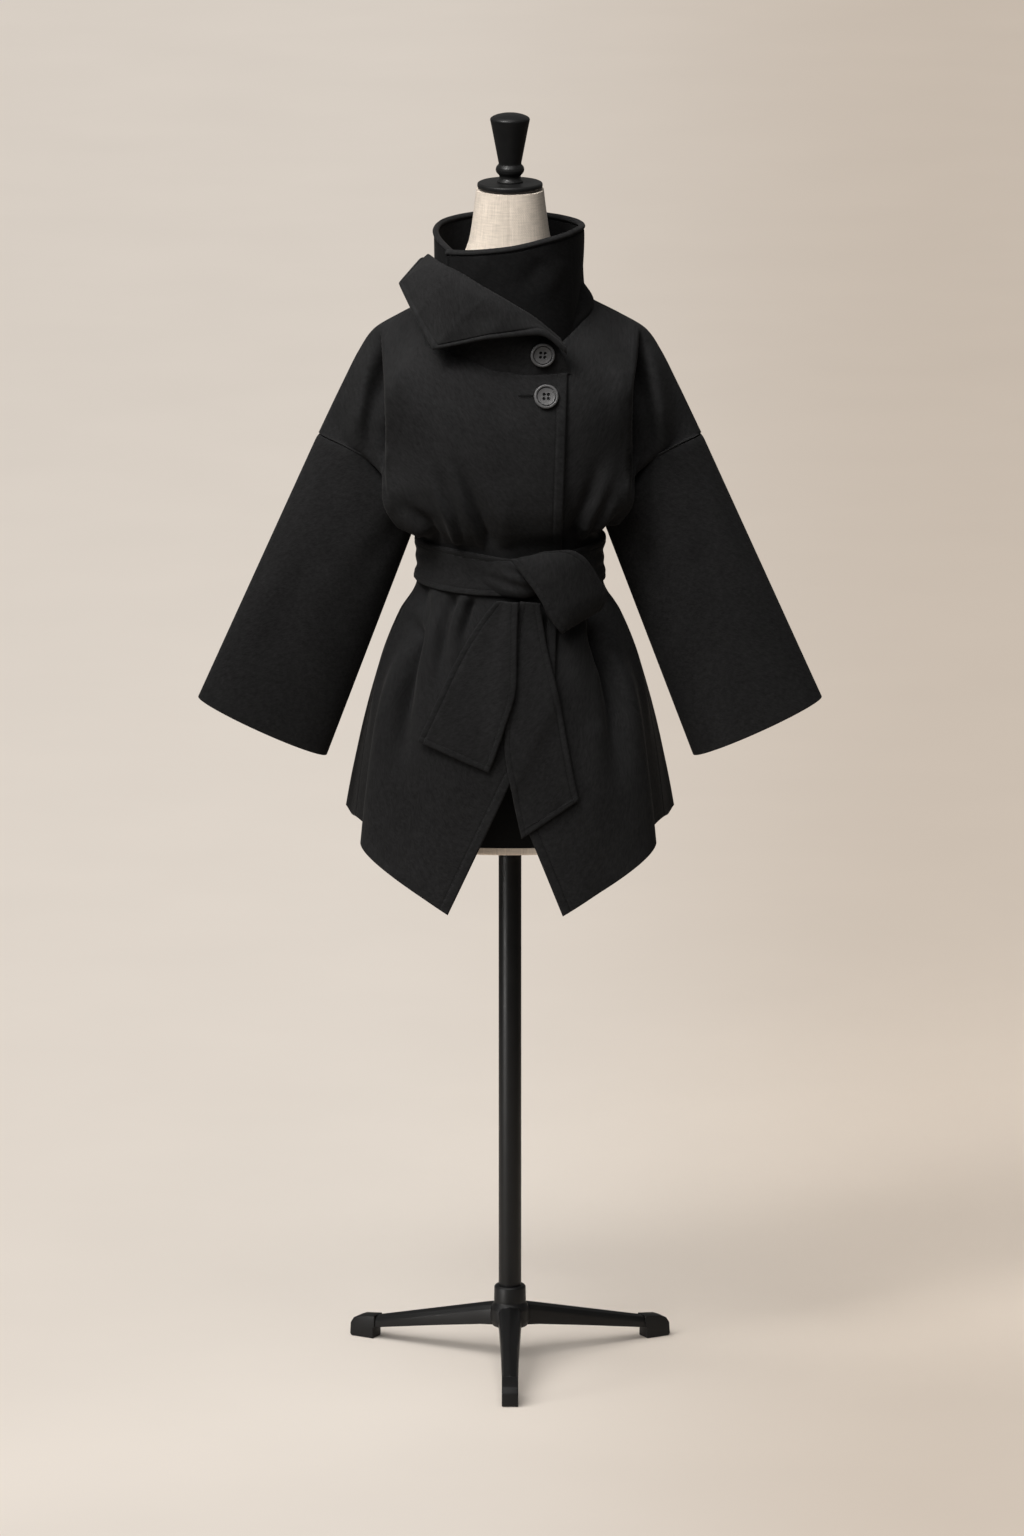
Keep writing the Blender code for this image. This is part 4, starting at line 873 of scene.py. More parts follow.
def sleeve_grid():
    turn = np.linspace(0, 2 * np.pi, SLEEVE_TURNS, endpoint=False)
    down = lines(SLEEVE_LENGTH, PLAIN_EDGE, PLAIN_EDGE, 4.0)
    turn, t = np.meshgrid(turn, SLEEVE_START + (1 - SLEEVE_START) * down / SLEEVE_LENGTH)
    shape = turn.shape
    points = sleeve_point(turn.ravel(), t.ravel())
    points = (points + chest_fold(points)).reshape(*shape, 3)
    normals = -sheet_normals(points, True)
    drags = [Crease(d.height, d.width, [(p, q * DRAG_STRETCH) for p, q in d.path]) for d in DRAGS]
    lift = crease_height(turn.ravel(), t.ravel() * DRAG_STRETCH, drags).reshape(shape)
    lift *= smooth(0, 0.06, t) * (1 - smooth(0.9, 1, t))
    lift -= SEAM_DIP * np.exp(-((down / SEAM_DIP_WIDTH) ** 2))[:, None]
    return points + normals * lift[..., None]


def sleeve_half(points):
    run = run_along(points, 0)
    half = rounded(np.full(points.shape[:2], COAT_WALL / 2), run)
    return rounded(half, run[-1:] - run)


sleeve_mid = sleeve_grid()
sleeve_left, _ = shell("coat_sleeve_left", sleeve_mid, sleeve_half(sleeve_mid), ring=True, out=-1)
mirrored = sleeve_mid * np.array([-1, 1, 1])
sleeve_right, _ = shell("coat_sleeve_right", mirrored, sleeve_half(mirrored), ring=True, out=1)

# %% [markdown]
# The collar is one long strip that goes round the neck more than once. Its standing part runs from
# under the right front, round the back and across the front, and ends in a free upright edge. It is a
# ruled sheet from the neckline to the rim, with a rolled rim and a row of stitches under it. The rim
# keeps the coat's own tint, and the wall below it is darker: painted shade, for a wall turned from the
# light.

# %% Standing collar
COLLAR_WIDTH, COLLAR_FRONT, COLLAR_BACK, COLLAR_DROP = 104, 96, 98, 10.0
RIM_ASIDE, RIM_FORWARD, RIM_LIFT = -4.0, 8.0, 1.6
KINK_DEPTH, FOOT_ROLL = 7.5, 9.5
RIM_ROUND, END_ROUND, RIM_FACE_ROWS = 7.5, 4.4, 9
Turn = namedtuple("Turn", "share foot_out rim_out rim_z")
COLLAR_TURNS = [
    Turn(-0.10, -18.0, -19.0, 1592), Turn(-0.04, -17.0, -17.0, 1601), Turn(0.00, -15.5, -13.5, 1611),
    Turn(0.04, -13.0, -7.5, 1620), Turn(0.08, -10.0, -4.0, 1627), Turn(0.14, -7.0, -1.5, 1632),
    Turn(0.25, -4.5, 0.0, 1635), Turn(0.45, -4.5, 0.0, 1634), Turn(0.60, -4.5, 0.0, 1637),
    Turn(0.72, -6.5, 0.0, 1630), Turn(0.82, -9.5, -1.0, 1620), Turn(0.92, -10.0, -1.0, 1613),
    Turn(1.00, -10.0, -1.0, 1609),
]
COLLAR_UNDER, COLLAR_START, COLLAR_END = 1.45, 2.75, 2.15
COLLAR_STITCH = 8.5
COLLAR_CREASES = [
    Crease(-2.6, 5, [(110, 1580), (99, 1553), (88, 1526)]),
    Crease(2.6, 12, [(76, 1596), (56, 1566), (30, 1538)]),
    Crease(-2.8, 11, [(46, 1602), (24, 1574), (-4, 1552)]),
    Crease(2.0, 12, [(-30, 1604), (-44, 1584), (-60, 1562)]),
]


def neck_ring(count):
    """The neckline from the hidden inner end, under the right front, round to the outer end."""
    lefts = np.linspace(COLLAR_UNDER, 4, 60)[:-1]
    backs = np.linspace(-4, 4, 110)[:-1]
    rights = np.linspace(4, -COLLAR_END, 72)
    first = front_point(lefts, np.zeros(len(lefts)), NECK_LEFT[1:]) * np.array([-1, 1, 1])
    second = back_point(backs, np.zeros(len(backs)))
    third = front_point(rights, np.zeros(len(rights)), NECK_LEFT[1:])
    path = np.vstack([first, second, third])
    run = np.concatenate([[0], np.cumsum(np.linalg.norm(np.diff(path, axis=0), axis=1))])
    start = np.interp(COLLAR_START, lefts, run[:len(lefts)])
    at = (run - start) / (run[-1] - start)
    shares = np.linspace(at[0], 1, count)
    return shares, np.stack([np.interp(shares, at, path[:, k]) for k in range(3)], axis=1), run[-1]


def eased(values, width):
    """A row of values with its corners eased, ends kept."""
    kernel = np.hanning(2 * width + 3)[1:-1]
    before, after = 2 * values[0] - values[width:0:-1], 2 * values[-1] - values[-2:-width - 2:-1]
    return np.convolve(np.concatenate([before, values, after]), kernel / kernel.sum(), mode="valid")


def collar_kink(theta, t):
    """How far the wall is drawn in above the bend at the wearer's left, and rolls out below it."""
    bend = np.interp(theta, [-42, -6], [0.97, 0.66])[None, :]
    amount = KINK_DEPTH * smooth(-46, -12, theta) * (1 - smooth(25, 70, theta))
    above = np.clip((t - 0.12) / (bend - 0.12), 0, 1) ** 1.3
    below = np.clip((1 - t) / (1.001 - bend), 0, 1)
    roll = FOOT_ROLL * smooth(-40, -8, theta) * (1 - smooth(25, 60, theta))
    rolled = roll * smooth(bend, 0.9, t) * (1 - smooth(0.92, 1.0, t))
    return amount[None, :] * np.minimum(above, below) - rolled


def collar_grid():
    shares, foot, length = neck_ring(420)
    spots = lines(length, stitched_lines(COLLAR_STITCH), stitched_lines(COLLAR_STITCH), 3.4) / length
    spots = shares[0] + (1 - shares[0]) * spots
    turns = table(COLLAR_TURNS)
    foot_out, rim_out, rim_z = (eased(np.interp(shares, turns[:, 0], turns[:, k]), 12) for k in (1, 2, 3))
    run = np.gradient(foot[:, :2], axis=0)
    outward = unit(columns(-run[:, 1], run[:, 0]))
    angle = np.arctan2(foot[:, 1], foot[:, 0])
    deep = np.where(foot[:, 1] < 0, COLLAR_FRONT, COLLAR_BACK)
    radius = 1 / np.sqrt((np.cos(angle) / COLLAR_WIDTH) ** 2 + (np.sin(angle) / deep) ** 2) + rim_out
    ahead = smooth(0, 70, -radius * np.sin(angle))
    rim_x, rim_y = radius * np.cos(angle) + RIM_ASIDE, radius * np.sin(angle) - RIM_FORWARD * ahead
    rim = columns(rim_x, rim_y, rim_z + RIM_LIFT * ahead)
    foot = foot.copy()
    foot[:, :2] += outward * foot_out[:, None]
    foot[:, 2] -= COLLAR_DROP
    foot = np.stack([np.interp(spots, shares, foot[:, k]) for k in range(3)], axis=1)
    rim = np.stack([np.interp(spots, shares, rim[:, k]) for k in range(3)], axis=1)
    outward = np.stack([np.interp(spots, shares, outward[:, k]) for k in range(2)], axis=1)
    height = np.linalg.norm(rim - foot, axis=1)
    top = np.array(stitched_lines(COLLAR_STITCH))
    t = np.array([np.concatenate([top[:-1], np.linspace(top[-1], h, 32)]) / h for h in height]).T
    points = rim[None] + (foot - rim)[None] * t[..., None]
    theta = np.where(spots > 0.5, np.degrees(np.arctan2(foot[:, 1], foot[:, 0])), 180.0)
    points[..., :2] -= outward[None] * collar_kink(theta, t)[..., None]
    normals = sheet_normals(points)
    front_part = smooth(0.62, 0.72, spots)[None, :] * np.ones(points.shape[:2])
    lift = crease_height(points[..., 0].ravel(), points[..., 2].ravel(), COLLAR_CREASES)
    return points - normals * (lift.reshape(front_part.shape) * front_part)[..., None]


collar_mid = collar_grid()
collar_down = run_along(collar_mid, 0)
collar_round = run_along(collar_mid, 1)
collar_half = np.full(collar_mid.shape[:2], COLLAR_WALL / 2)
collar_half += edge_relief(collar_down, COLLAR_STITCH, 2.2, 1.2)
collar_half += edge_relief(collar_round[:, -1:] - collar_round, COLLAR_STITCH, 2.0, 1.0)
collar_half = rounded(collar_half, collar_down, RIM_ROUND)
for distance in (collar_round, collar_round[:, -1:] - collar_round):
    collar_half = rounded(collar_half, distance, END_ROUND)
collar_band, collar_outer = shell("coat_collar", collar_mid, collar_half, out=-1, material=COLLAR_WOOL_PAINTED_SHADE)
# Painted shade on the wall: its faces keep the darker wool, and only the rim's faces, which face the light,
# take the plain wool.
rim_without_painted_shade = np.zeros(len(collar_band.data.polygons), int)
around_faces = collar_mid.shape[1] - 1
side_faces = (collar_mid.shape[0] - 1) * around_faces
rim_counts = (RIM_FACE_ROWS * around_faces, RIM_FACE_ROWS * around_faces, around_faces)
for start, count in zip((0, side_faces, 2 * side_faces), rim_counts):
    rim_without_painted_shade[start:start + count] = 1
collar_band.data.materials.append(WOOL)
collar_band.data.polygons.foreach_set("material_index", rim_without_painted_shade)
print("collar height", collar_down[-1].min().round(), "to", collar_down[-1].max().round(), "mm")

# %% [markdown]
# The collar's other end is buttoned across the chest and folded down over itself. Its section goes up
# from the neckline, over a fold, and down to a free edge with two crisp corners, so the free edge is
# read in straight runs between its corners, and the fold in a smooth curve.

# %% Folded collar end
Lapel = namedtuple("Lapel", "across fold_x fold_y fold_z edge_x edge_y edge_z")
LAPEL = [
    Lapel(-1.10, 70, -114, 1492, 79, -121, 1474),
    Lapel(-0.60, 32, -122, 1525, 36, -134, 1503),
    Lapel(0.00, 0, -126, 1546, -32, -138, 1498),
    Lapel(0.90, -33, -124, 1565, -106, -122, 1480),
    Lapel(2.10, -78, -104, 1588, -131, -88, 1519),
    Lapel(3.20, -106, -56, 1594, -153, -34, 1554),
    Lapel(3.95, -114, -2, 1590, -124, 4, 1581),
]
LAPEL_FOLD_RADIUS, LAPEL_SWELL, LAPEL_TUCK, LAPEL_BEHIND = 5.5, 4.0, 4.0, 2.6
LAPEL_STITCH = 10.0


def lapel_grid():
    rows = table(LAPEL)
    v = np.unique(np.concatenate([np.linspace(0, len(rows) - 1, 121), [0.004, 0.012, 0.025, 0.045],
                                  len(rows) - 1 - np.array([0.004, 0.012, 0.025, 0.045])]))
    spans = np.linalg.norm(np.diff(rows[:, 1:4], axis=0), axis=1)
    row = along_rows(rows, spans, v)
    straight = np.stack([np.interp(v, np.arange(len(rows)), rows[:, k]) for k in (4, 5, 6)], axis=1)
    crisp = smooth(1.6, 2.6, v)[:, None]
    across, fold, edge = row[:, 0], row[:, 1:4], row[:, 4:7] * (1 - crisp) + straight * crisp
    near = lambda a, w: front_point(a, w, NECK_RIGHT) * np.array([-1, 1, 1])
    foot = near(across, np.zeros(len(v)))
    up = unit(foot - near(across, np.full(len(v), 0.05)))
    out = unit(columns(fold[:, 0], fold[:, 1], 0 * v))
    tuck = LAPEL_TUCK + NECK_LOWER * (1 - smooth(0.3, 2.2, across))
    foot = foot - up * tuck[:, None] - out * LAPEL_BEHIND
    radius = (LAPEL_FOLD_RADIUS * (1 - 0.8 * smooth(5.0, 5.95, v)))[:, None]
    swell = (LAPEL_SWELL * (1 - smooth(4.6, 5.9, v)))[:, None]
    drop = np.array([0, 0, 1.0]) * radius
    inner_top = fold - out * radius - drop
    outer_top = fold + out * radius - drop
    inner_mid = (foot + inner_top) / 2 + out * 1.0
    outer_mid = (outer_top + edge) / 2 + out * swell
    keys = np.stack([foot - up * 8, foot, inner_mid, inner_top, fold, outer_top, outer_mid, edge,
                     2 * edge - outer_mid], axis=1)
    fine = np.linspace(0, 6, 181)
    curves = np.stack([through(keys, np.full(len(v), s)) for s in fine], axis=0)
    run = run_along(curves, 0)
    grid = []
    for k in range(len(v)):
        length = run[-1, k]
        wanted = np.concatenate([np.linspace(0, length - 12.6, 68)[:-1], length - np.array(
            [12.6, 11.4, 10.7, 10, 9.3, 8.6, 7.6, 6, 3.2, 2, 1.2, 0.6, 0.2, 0])])
        grid.append(np.stack([np.interp(wanted, run[:, k], curves[:, k, n]) for n in range(3)], axis=1))
    return np.array(grid).transpose(1, 0, 2)


lapel_mid = lapel_grid()
lapel_run = run_along(lapel_mid, 0)
lapel_side = run_along(lapel_mid, 1)
to_edge = lapel_run[-1:] - lapel_run
lapel_half = np.full(lapel_mid.shape[:2], COLLAR_WALL / 2) + edge_relief(to_edge, LAPEL_STITCH, 1.5, 1.0)
for distance in (to_edge, lapel_run, lapel_side, lapel_side[:, -1:] - lapel_side):
    lapel_half = rounded(lapel_half, distance, 3.6)
lapel_half *= 0.3 + 0.7 * smooth(1, 10, lapel_run)
collar_lapel, lapel_outer = shell("coat_collar_flap", lapel_mid, lapel_half, out=1)

# %% [markdown]
# The belt is made from the coat's own waist points, moved out by its own thickness, so it always lies
# on the cloth. Pulled tight it buckles into long ridges, strongest at the sides, where the photograph
# shows its outline as a row of small waves, and it gathers towards the knot.

# %% Belt round the waist
BELT_TOP, BELT_BOTTOM, BELT_DIP, BELT_DIP_REACH, BELT_CLEAR = 1193, 1130, 12, 62, 1.1
KNOT_CENTRE, KNOT_SIZE = (19, -124.8, 1151), (42, 18.6, 52)
BELT_STITCH = 8.5


def belt_grid(count):
    quarter = np.linspace(0, 4, count // 4, endpoint=False)
    front_z = FRONT_ROWS[UNDERARM_ROW + 1:UNDERARM_ROW + 4, 0]

    def ring(v):
        return np.vstack([front_point(quarter, v[0], NECK_LEFT), back_point(4 - quarter, v[1]),
                          back_point(-quarter, v[2]), front_point(quarter - 4, v[3], NECK_LEFT)])

    waist = ring(np.full((4, len(quarter)), UNDERARM_ROW + 2.0))
    ahead = (waist[:, 1] < 0) * np.exp(-((waist[:, 0] - KNOT_CENTRE[0]) / BELT_DIP_REACH) ** 2)
    wide = BELT_TOP - BELT_BOTTOM
    shares = lines(wide, stitched_lines(BELT_STITCH), stitched_lines(BELT_STITCH), 1.6) / wide
    rings = []
    for share in shares:
        level = BELT_BOTTOM + wide * share - BELT_DIP * ahead * (0.15 + 0.85 * share)
        v = UNDERARM_ROW + 1 + np.interp(level, front_z[::-1], [2.0, 1.0, 0.0])
        rings.append(ring(v.reshape(4, -1)))
    points = np.array(rings)
    run = np.roll(points, -1, axis=1) - np.roll(points, 1, axis=1)
    normals = unit(columns(run[..., 1], -run[..., 0], 0 * run[..., 0]))
    x, y = points[..., 0], points[..., 1]
    side = np.exp(-((np.abs(x) - 126) / 20) ** 2)
    share = shares[:, None]
    waves = -np.cos(2 * np.pi * (3.0 * share + 0.002 * y)) * side
    waves += np.sin(2 * np.pi * (1.6 * share + 0.006 * x)) * 0.8 * (y > 0)
    to_knot = np.exp(-((x - 4) / 40) ** 2) * (y < 0)
    waves += 1.8 * to_knot * np.exp(-((share - 0.62 + 0.002 * x) / 0.10) ** 2)
    waves -= 1.4 * to_knot * np.exp(-((share - 0.40 + 0.001 * x) / 0.09) ** 2)
    offset = COAT_WALL / 2 + BELT_CLEAR + BELT_WALL / 2 + waves
    return points + normals * offset[..., None]


belt_mid = belt_grid(320)
belt_run = run_along(belt_mid, 0)
belt_half = np.full(belt_mid.shape[:2], BELT_WALL / 2)
for distance in (belt_run, belt_run[-1:] - belt_run):
    belt_half += edge_relief(distance, BELT_STITCH, 0.4, 0.6)
for distance in (belt_run, belt_run[-1:] - belt_run):
    belt_half = rounded(belt_half, distance, 2.0)
belt_band, belt_outer = shell("coat_belt", belt_mid, belt_half, ring=True, out=-1)

# %% [markdown]
# The loop and the two hanging ends are strips of the same belt. Each is a short table of stations
# with its two edges. The hanging ends are laid on the fronts: their points move forward until they
# clear the cloth behind them, the left one also clearing the right one that it lies on.

# %% Strips of the belt
Strip = namedtuple("Strip", "left_x left_y left_z right_x right_y right_z")
LOOP = [
    Strip(-1, -136, 1187, 30, -132, 1189),
    Strip(7, -139, 1178, 56, -132, 1197),
    Strip(16, -142, 1167, 80, -131, 1199),
    Strip(36, -145, 1140, 99, -127, 1191),
    Strip(54, -146, 1110, 124, -114, 1154),
    Strip(65, -144, 1091, 135, -105, 1127),
    Strip(71, -139, 1083, 126, -100, 1107),
    Strip(67, -133, 1087, 128, -96, 1124),
    Strip(52, -131, 1106, 112, -103, 1152),
    Strip(44, -130, 1124, 88, -112, 1166),
]
TAIL_LEFT = [
    Strip(-20, 0, 1124.7, 12, 0, 1124.7),
    Strip(-42, 0, 1096, 10, 0, 1080),
    Strip(-76, 0, 1040, 9, 0, 1012),
    Strip(-104, 0, 981, -8, 0, 948),
    Strip(-128, 0, 928, -29, 0, 887),
]
TAIL_RIGHT = [
    Strip(14, 0, 1124.5, 42, 0, 1122),
    Strip(6, 0, 1078, 50, 0, 1068),
    Strip(-2, 0, 1010, 66, 0, 1000),
    Strip(-8, 0, 930, 80, 0, 925),
    Strip(4, 0, 850, 90, 0, 872),
    Strip(16, 0, 793, 96, 0, 846),
]
TAIL_CLEAR, TAIL_SETTLE, LOOP_PILLOW = 1.0, 70, 7


def strip_grid(stations, pitch, end_lines):
    """Edges read along the strip; rows measured along it, columns measured from its two edges."""
    rows = table(stations)
    middle = (rows[:, :3] + rows[:, 3:]) / 2
    spans = np.maximum(np.linalg.norm(np.diff(middle, axis=0), axis=1), 4.0)
    fine = np.linspace(0, len(rows) - 1, 241)
    row = along_rows(rows, spans, fine)
    run = run_along(((row[:, :3] + row[:, 3:]) / 2)[None], 1)[0]
    spots = np.interp(lines(run[-1], [0, 1, 3], end_lines, pitch), run, fine)
    row = along_rows(rows, spans, spots)
    width = np.linalg.norm(row[:, 3:] - row[:, :3], axis=1)
    grid = []
    for k in range(len(spots)):
        near = np.array(stitched_lines(BELT_STITCH)) * min(1.0, width[k] / 34)
        inside = np.linspace(near[-1], width[k] - near[-1], 18)
        across = np.concatenate([near[:-1], inside, width[k] - near[:-1][::-1]])
        grid.append(row[k, :3] + (row[k, 3:] - row[k, :3]) * (across / width[k])[:, None])
    return np.array(grid)


def lay_on(points, cover, clear, reach):
    laid = points.copy()
    for k in np.ndindex(points.shape[:2]):
        x, _, z = points[k]
        near = (cover[:, 0] - x) ** 2 + (cover[:, 2] - z) ** 2
        rest = cover[near <= max(reach ** 2, 1.2 * near.min()), 1].min() - clear
        hang = smooth(0, TAIL_SETTLE, KNOT_CENTRE[2] - KNOT_SIZE[2] / 2 - z)
        laid[k][1] = min(rest, KNOT_CENTRE[1] * (1 - hang) + rest * hang)
    return laid


def relaxed(grid, times):
    """The depth of a laid strip evened out, as stiff wool bridges small hollows."""
    depth = grid[..., 1]
    for _ in range(times):
        framed = np.pad(depth, 1, mode="edge")
        around = (framed[:-2, 1:-1] + framed[2:, 1:-1] + framed[1:-1, :-2] + framed[1:-1, 2:]) / 4
        depth = np.minimum(depth + 0.5 * (around - depth), grid[..., 1] + 0.8)
    return np.stack([grid[..., 0], depth, grid[..., 2]], axis=2)


def strip_half(points, end_stitch):
    across = run_along(points, 1)
    along = run_along(points, 0)
    left, right, end = across, across[:, -1:] - across, along[-1:] - along
    half = np.full(points.shape[:2], BELT_WALL / 2)
    for distance in (left, right) + ((end,) if end_stitch else ()):
        half += edge_relief(distance, BELT_STITCH, 0.35, 0.6)
    for distance in (left, right, end, along):
        half = rounded(half, distance, 2.0)
    return np.maximum(half, 0.12)


END_LINES = stitched_lines(BELT_STITCH)


def tail_shell(name, stations, below, reach):
    """A hanging end laid on the points below it, with its middle sheet and its outer face."""
    middle = lay_on(strip_grid(stations, 5.0, END_LINES), below, BELT_WALL / 2 + TAIL_CLEAR, reach)
    middle = relaxed(middle, 30)
    piece, outer = shell(name, middle, strip_half(middle, True))
    return piece, middle, outer


cover = np.vstack([right_outer[100::2, ::2].reshape(-1, 3), left_outer[100::2, ::2].reshape(-1, 3)])
loop_mid = strip_grid(LOOP, 3.0, [0, 1, 3])
loop_along = np.linspace(0, 1, loop_mid.shape[0])[:, None]
loop_across = run_along(loop_mid, 1) / run_along(loop_mid, 1)[:, -1:]
pillow = LOOP_PILLOW * smooth(0.02, 0.3, loop_along) * (1 - smooth(0.5, 0.72, loop_along))
loop_mid[..., 1] -= pillow * np.sin(np.pi * loop_across)
belt_loop, loop_outer = shell("coat_belt_loop", loop_mid, strip_half(loop_mid, False), out=1)
tail_right = tail_shell("coat_belt_tail_right", TAIL_RIGHT, cover, 12)
belt_tail_right, tail_right_mid, tail_right_outer = tail_right
over = np.vstack([cover, tail_right_outer[::2, ::2].reshape(-1, 3) - np.array([0, 0.4, 0])])
belt_tail_left, tail_left_mid, tail_left_outer = tail_shell("coat_belt_tail_left", TAIL_LEFT, over, 18)

# %% [markdown]
# The knot is the belt wound once round itself. It shows as the belt climbing towards the loop, with
# its long ridges drawn together. So it is a wedge through a few sections: it starts flush with the
# belt at the left, swells to the knot's full depth, and ends under the loop.

# %% Knot
Wedge = namedtuple("Wedge", "x rise half_height")
WEDGES = [
    Wedge(-52, -2.0, 19), Wedge(-40, 0.5, 22), Wedge(-24, 3.5, 24),
    Wedge(-8, 9, 25), Wedge(6, 14.5, 25.5), Wedge(20, 17, 25.5),
    Wedge(32, 15, 23), Wedge(39, 9, 17), Wedge(41, 3, 9),
]


def knot_piece():
    rows = table(WEDGES)
    row = along_rows(rows, np.diff(rows[:, 0]), np.linspace(0, len(rows) - 1, 73))
    face = belt_outer[belt_outer.shape[0] // 2]
    face = face[face[:, 1] < -40]
    face = face[np.argsort(face[:, 0])]
    level = np.interp(row[:, 0], face[:, 0], face[:, 1])
    middle = np.interp(row[:, 0], face[:, 0], face[:, 2]) - 1.5
    around = np.linspace(0, 2 * np.pi, 88, endpoint=False)
    soft = lambda value, power: np.sign(value) * np.abs(value) ** power
    deep, tall = soft(np.cos(around), 0.7)[None, :], soft(np.sin(around), 0.75)[None, :]
    x, rise, half = (row[:, k][:, None] for k in range(3))
    thick = (rise + 6) / 2
    ridges = 0.17 * np.sin(2 * np.pi * (0.9 * tall + 0.012 * x)) * smooth(-46, -8, x)
    ridges = ridges + 0.10 * np.sin(9 * tall + 0.05 * x)
    y = level[:, None] + 6 - thick - deep * thick * (1 + ridges * (deep > 0))
    return columns(x, y, middle[:, None] + half * tall)


knot_points = knot_piece()
rows, cols = knot_points.shape[:2]
r, c = (k.ravel() for k in np.meshgrid(np.arange(rows - 1), np.arange(cols), indexing="ij"))
after = (c + 1) % cols
knot_faces = np.stack([r * cols + c, r * cols + after, (r + 1) * cols + after, (r + 1) * cols + c], 1)
knot_u, knot_v = np.stack([c, c + 1, c + 1, c], 1) * 0.0013, np.stack([r, r, r + 1, r + 1], 1) * 0.0012
knot_uv = np.stack([knot_u, knot_v], axis=2)
belt_knot = mesh_piece("coat_belt_knot", to_world(knot_points.reshape(-1, 3)), knot_faces, knot_uv, WOOL)
knot_work = bmesh.new()
knot_work.from_mesh(belt_knot.data)
bmesh.ops.remove_doubles(knot_work, verts=knot_work.verts, dist=0.00002)
knot_work.to_mesh(belt_knot.data)
knot_work.free()
print("knot faces", len(belt_knot.data.polygons))

# %% [markdown]
# The rows of stitches follow the edges at a fixed distance. They repeat along a path, so Geometry
# Nodes set them: the path becomes a curve, is cut to the stitch's pitch, and one small stitch is
# placed at each point and turned along the path. The thread is a shade lighter than the wool.

# %% Stitching with Geometry Nodes
THREAD = cloth_material("black_thread", (0.015, 0.015, 0.0152), 0.1, 0.2, 0.1, 0.7, 0.03)


def stitch_tree():
    tree = bpy.data.node_groups.new("topstitch", "GeometryNodeTree")
    face = tree.interface
    face.new_socket("Geometry", in_out="INPUT", socket_type="NodeSocketGeometry")
    for label, value in (("Pitch", 0.0042), ("Length", 0.0031), ("Radius", 0.00042)):
        face.new_socket(label, in_out="INPUT", socket_type="NodeSocketFloat").default_value = value
    face.new_socket("Thread", in_out="INPUT", socket_type="NodeSocketMaterial")
    face.new_socket("Geometry", in_out="OUTPUT", socket_type="NodeSocketGeometry")
    given, result = tree.nodes.new("NodeGroupInput"), tree.nodes.new("NodeGroupOutput")
    curve = tree.nodes.new("GeometryNodeMeshToCurve")
    cut = tree.nodes.new("GeometryNodeResampleCurve")
    cut.mode = "LENGTH"
    heading = tree.nodes.new("GeometryNodeInputTangent")
    turn = tree.nodes.new("FunctionNodeAlignRotationToVector")
    turn.axis = "Z"
    stitch = tree.nodes.new("GeometryNodeMeshCylinder")
    stitch.fill_type = "TRIANGLE_FAN"
    stitch.inputs["Vertices"].default_value = 6
    stitch.inputs["Side Segments"].default_value = 1
    place = tree.nodes.new("GeometryNodeInstanceOnPoints")
    real = tree.nodes.new("GeometryNodeRealizeInstances")
    paint = tree.nodes.new("GeometryNodeSetMaterial")
    link = tree.links.new
    link(given.outputs["Geometry"], curve.inputs["Mesh"])
    link(curve.outputs["Curve"], cut.inputs["Curve"])
    link(given.outputs["Pitch"], cut.inputs["Length"])
    link(cut.outputs["Curve"], place.inputs["Points"])
    link(heading.outputs["Tangent"], turn.inputs["Vector"])
    link(turn.outputs["Rotation"], place.inputs["Rotation"])
    link(given.outputs["Length"], stitch.inputs["Depth"])
    link(given.outputs["Radius"], stitch.inputs["Radius"])
    link(stitch.outputs["Mesh"], place.inputs["Instance"])
    link(place.outputs["Instances"], real.inputs["Geometry"])
    link(real.outputs["Geometry"], paint.inputs["Geometry"])
    link(given.outputs["Thread"], paint.inputs["Material"])
    link(paint.outputs["Geometry"], result.inputs["Geometry"])
    return tree


TOPSTITCH = stitch_tree()


def plain_mesh(piece):
    """The evaluated piece as a plain mesh, with its modifiers gone."""
    graph = bpy.context.evaluated_depsgraph_get()
    mesh = bpy.data.meshes.new_from_object(piece.evaluated_get(graph))
    piece.modifiers.clear()
    piece.data = mesh
    return piece


def stitch_rows(name, paths, pitch=0.0042):
    points, edges, count = [], [], 0
    for path in paths:
        points.append(to_world(path))
        edges += [(count + k, count + k + 1) for k in range(len(path) - 1)]
        count += len(path)
    mesh = bpy.data.meshes.new(name)
    mesh.from_pydata(np.concatenate(points).tolist(), edges, [])
    piece = bpy.data.objects.new(name, mesh)
    scene.collection.objects.link(piece)
    modifier = piece.modifiers.new("topstitch", "NODES")
    sockets = {s.name: s.identifier for s in TOPSTITCH.interface.items_tree if s.in_out == "INPUT"}
    modifier.node_group = TOPSTITCH
    modifier[sockets["Pitch"]] = pitch
    modifier[sockets["Thread"]] = THREAD
    plain_mesh(piece)
    piece.data.uv_layers.new(name="cloth")
    print(name, "stitch faces", len(piece.data.polygons))
    return piece


AT = len(stitched_lines(BELT_STITCH)) - 4
right_stitch = stitch_rows("stitches_front_right", [right_outer[2:-8, AT]])
left_stitch = stitch_rows("stitches_front_left", [left_outer[2:-8, AT]])
collar_row = int(np.argmin(np.abs(collar_down[:, 200] - COLLAR_STITCH)))
collar_path = [collar_outer[collar_row, 12:-AT], collar_outer[collar_row:-4, -1 - AT]]
collar_stitch = stitch_rows("stitches_collar", collar_path)
flap_row = lapel_mid.shape[0] - 11
flap_stitch = stitch_rows("stitches_flap", [lapel_outer[flap_row, 3:-4]])
belt_stitch = stitch_rows("stitches_belt", [belt_outer[AT], belt_outer[-1 - AT]])
loop_stitch = stitch_rows("stitches_loop", [loop_outer[3:-3, AT], loop_outer[3:-3, -1 - AT]])


def round_end(outer):
    return np.vstack([outer[4:-AT, AT], outer[-1 - AT, AT:-AT], outer[4:-AT, -1 - AT][::-1]])


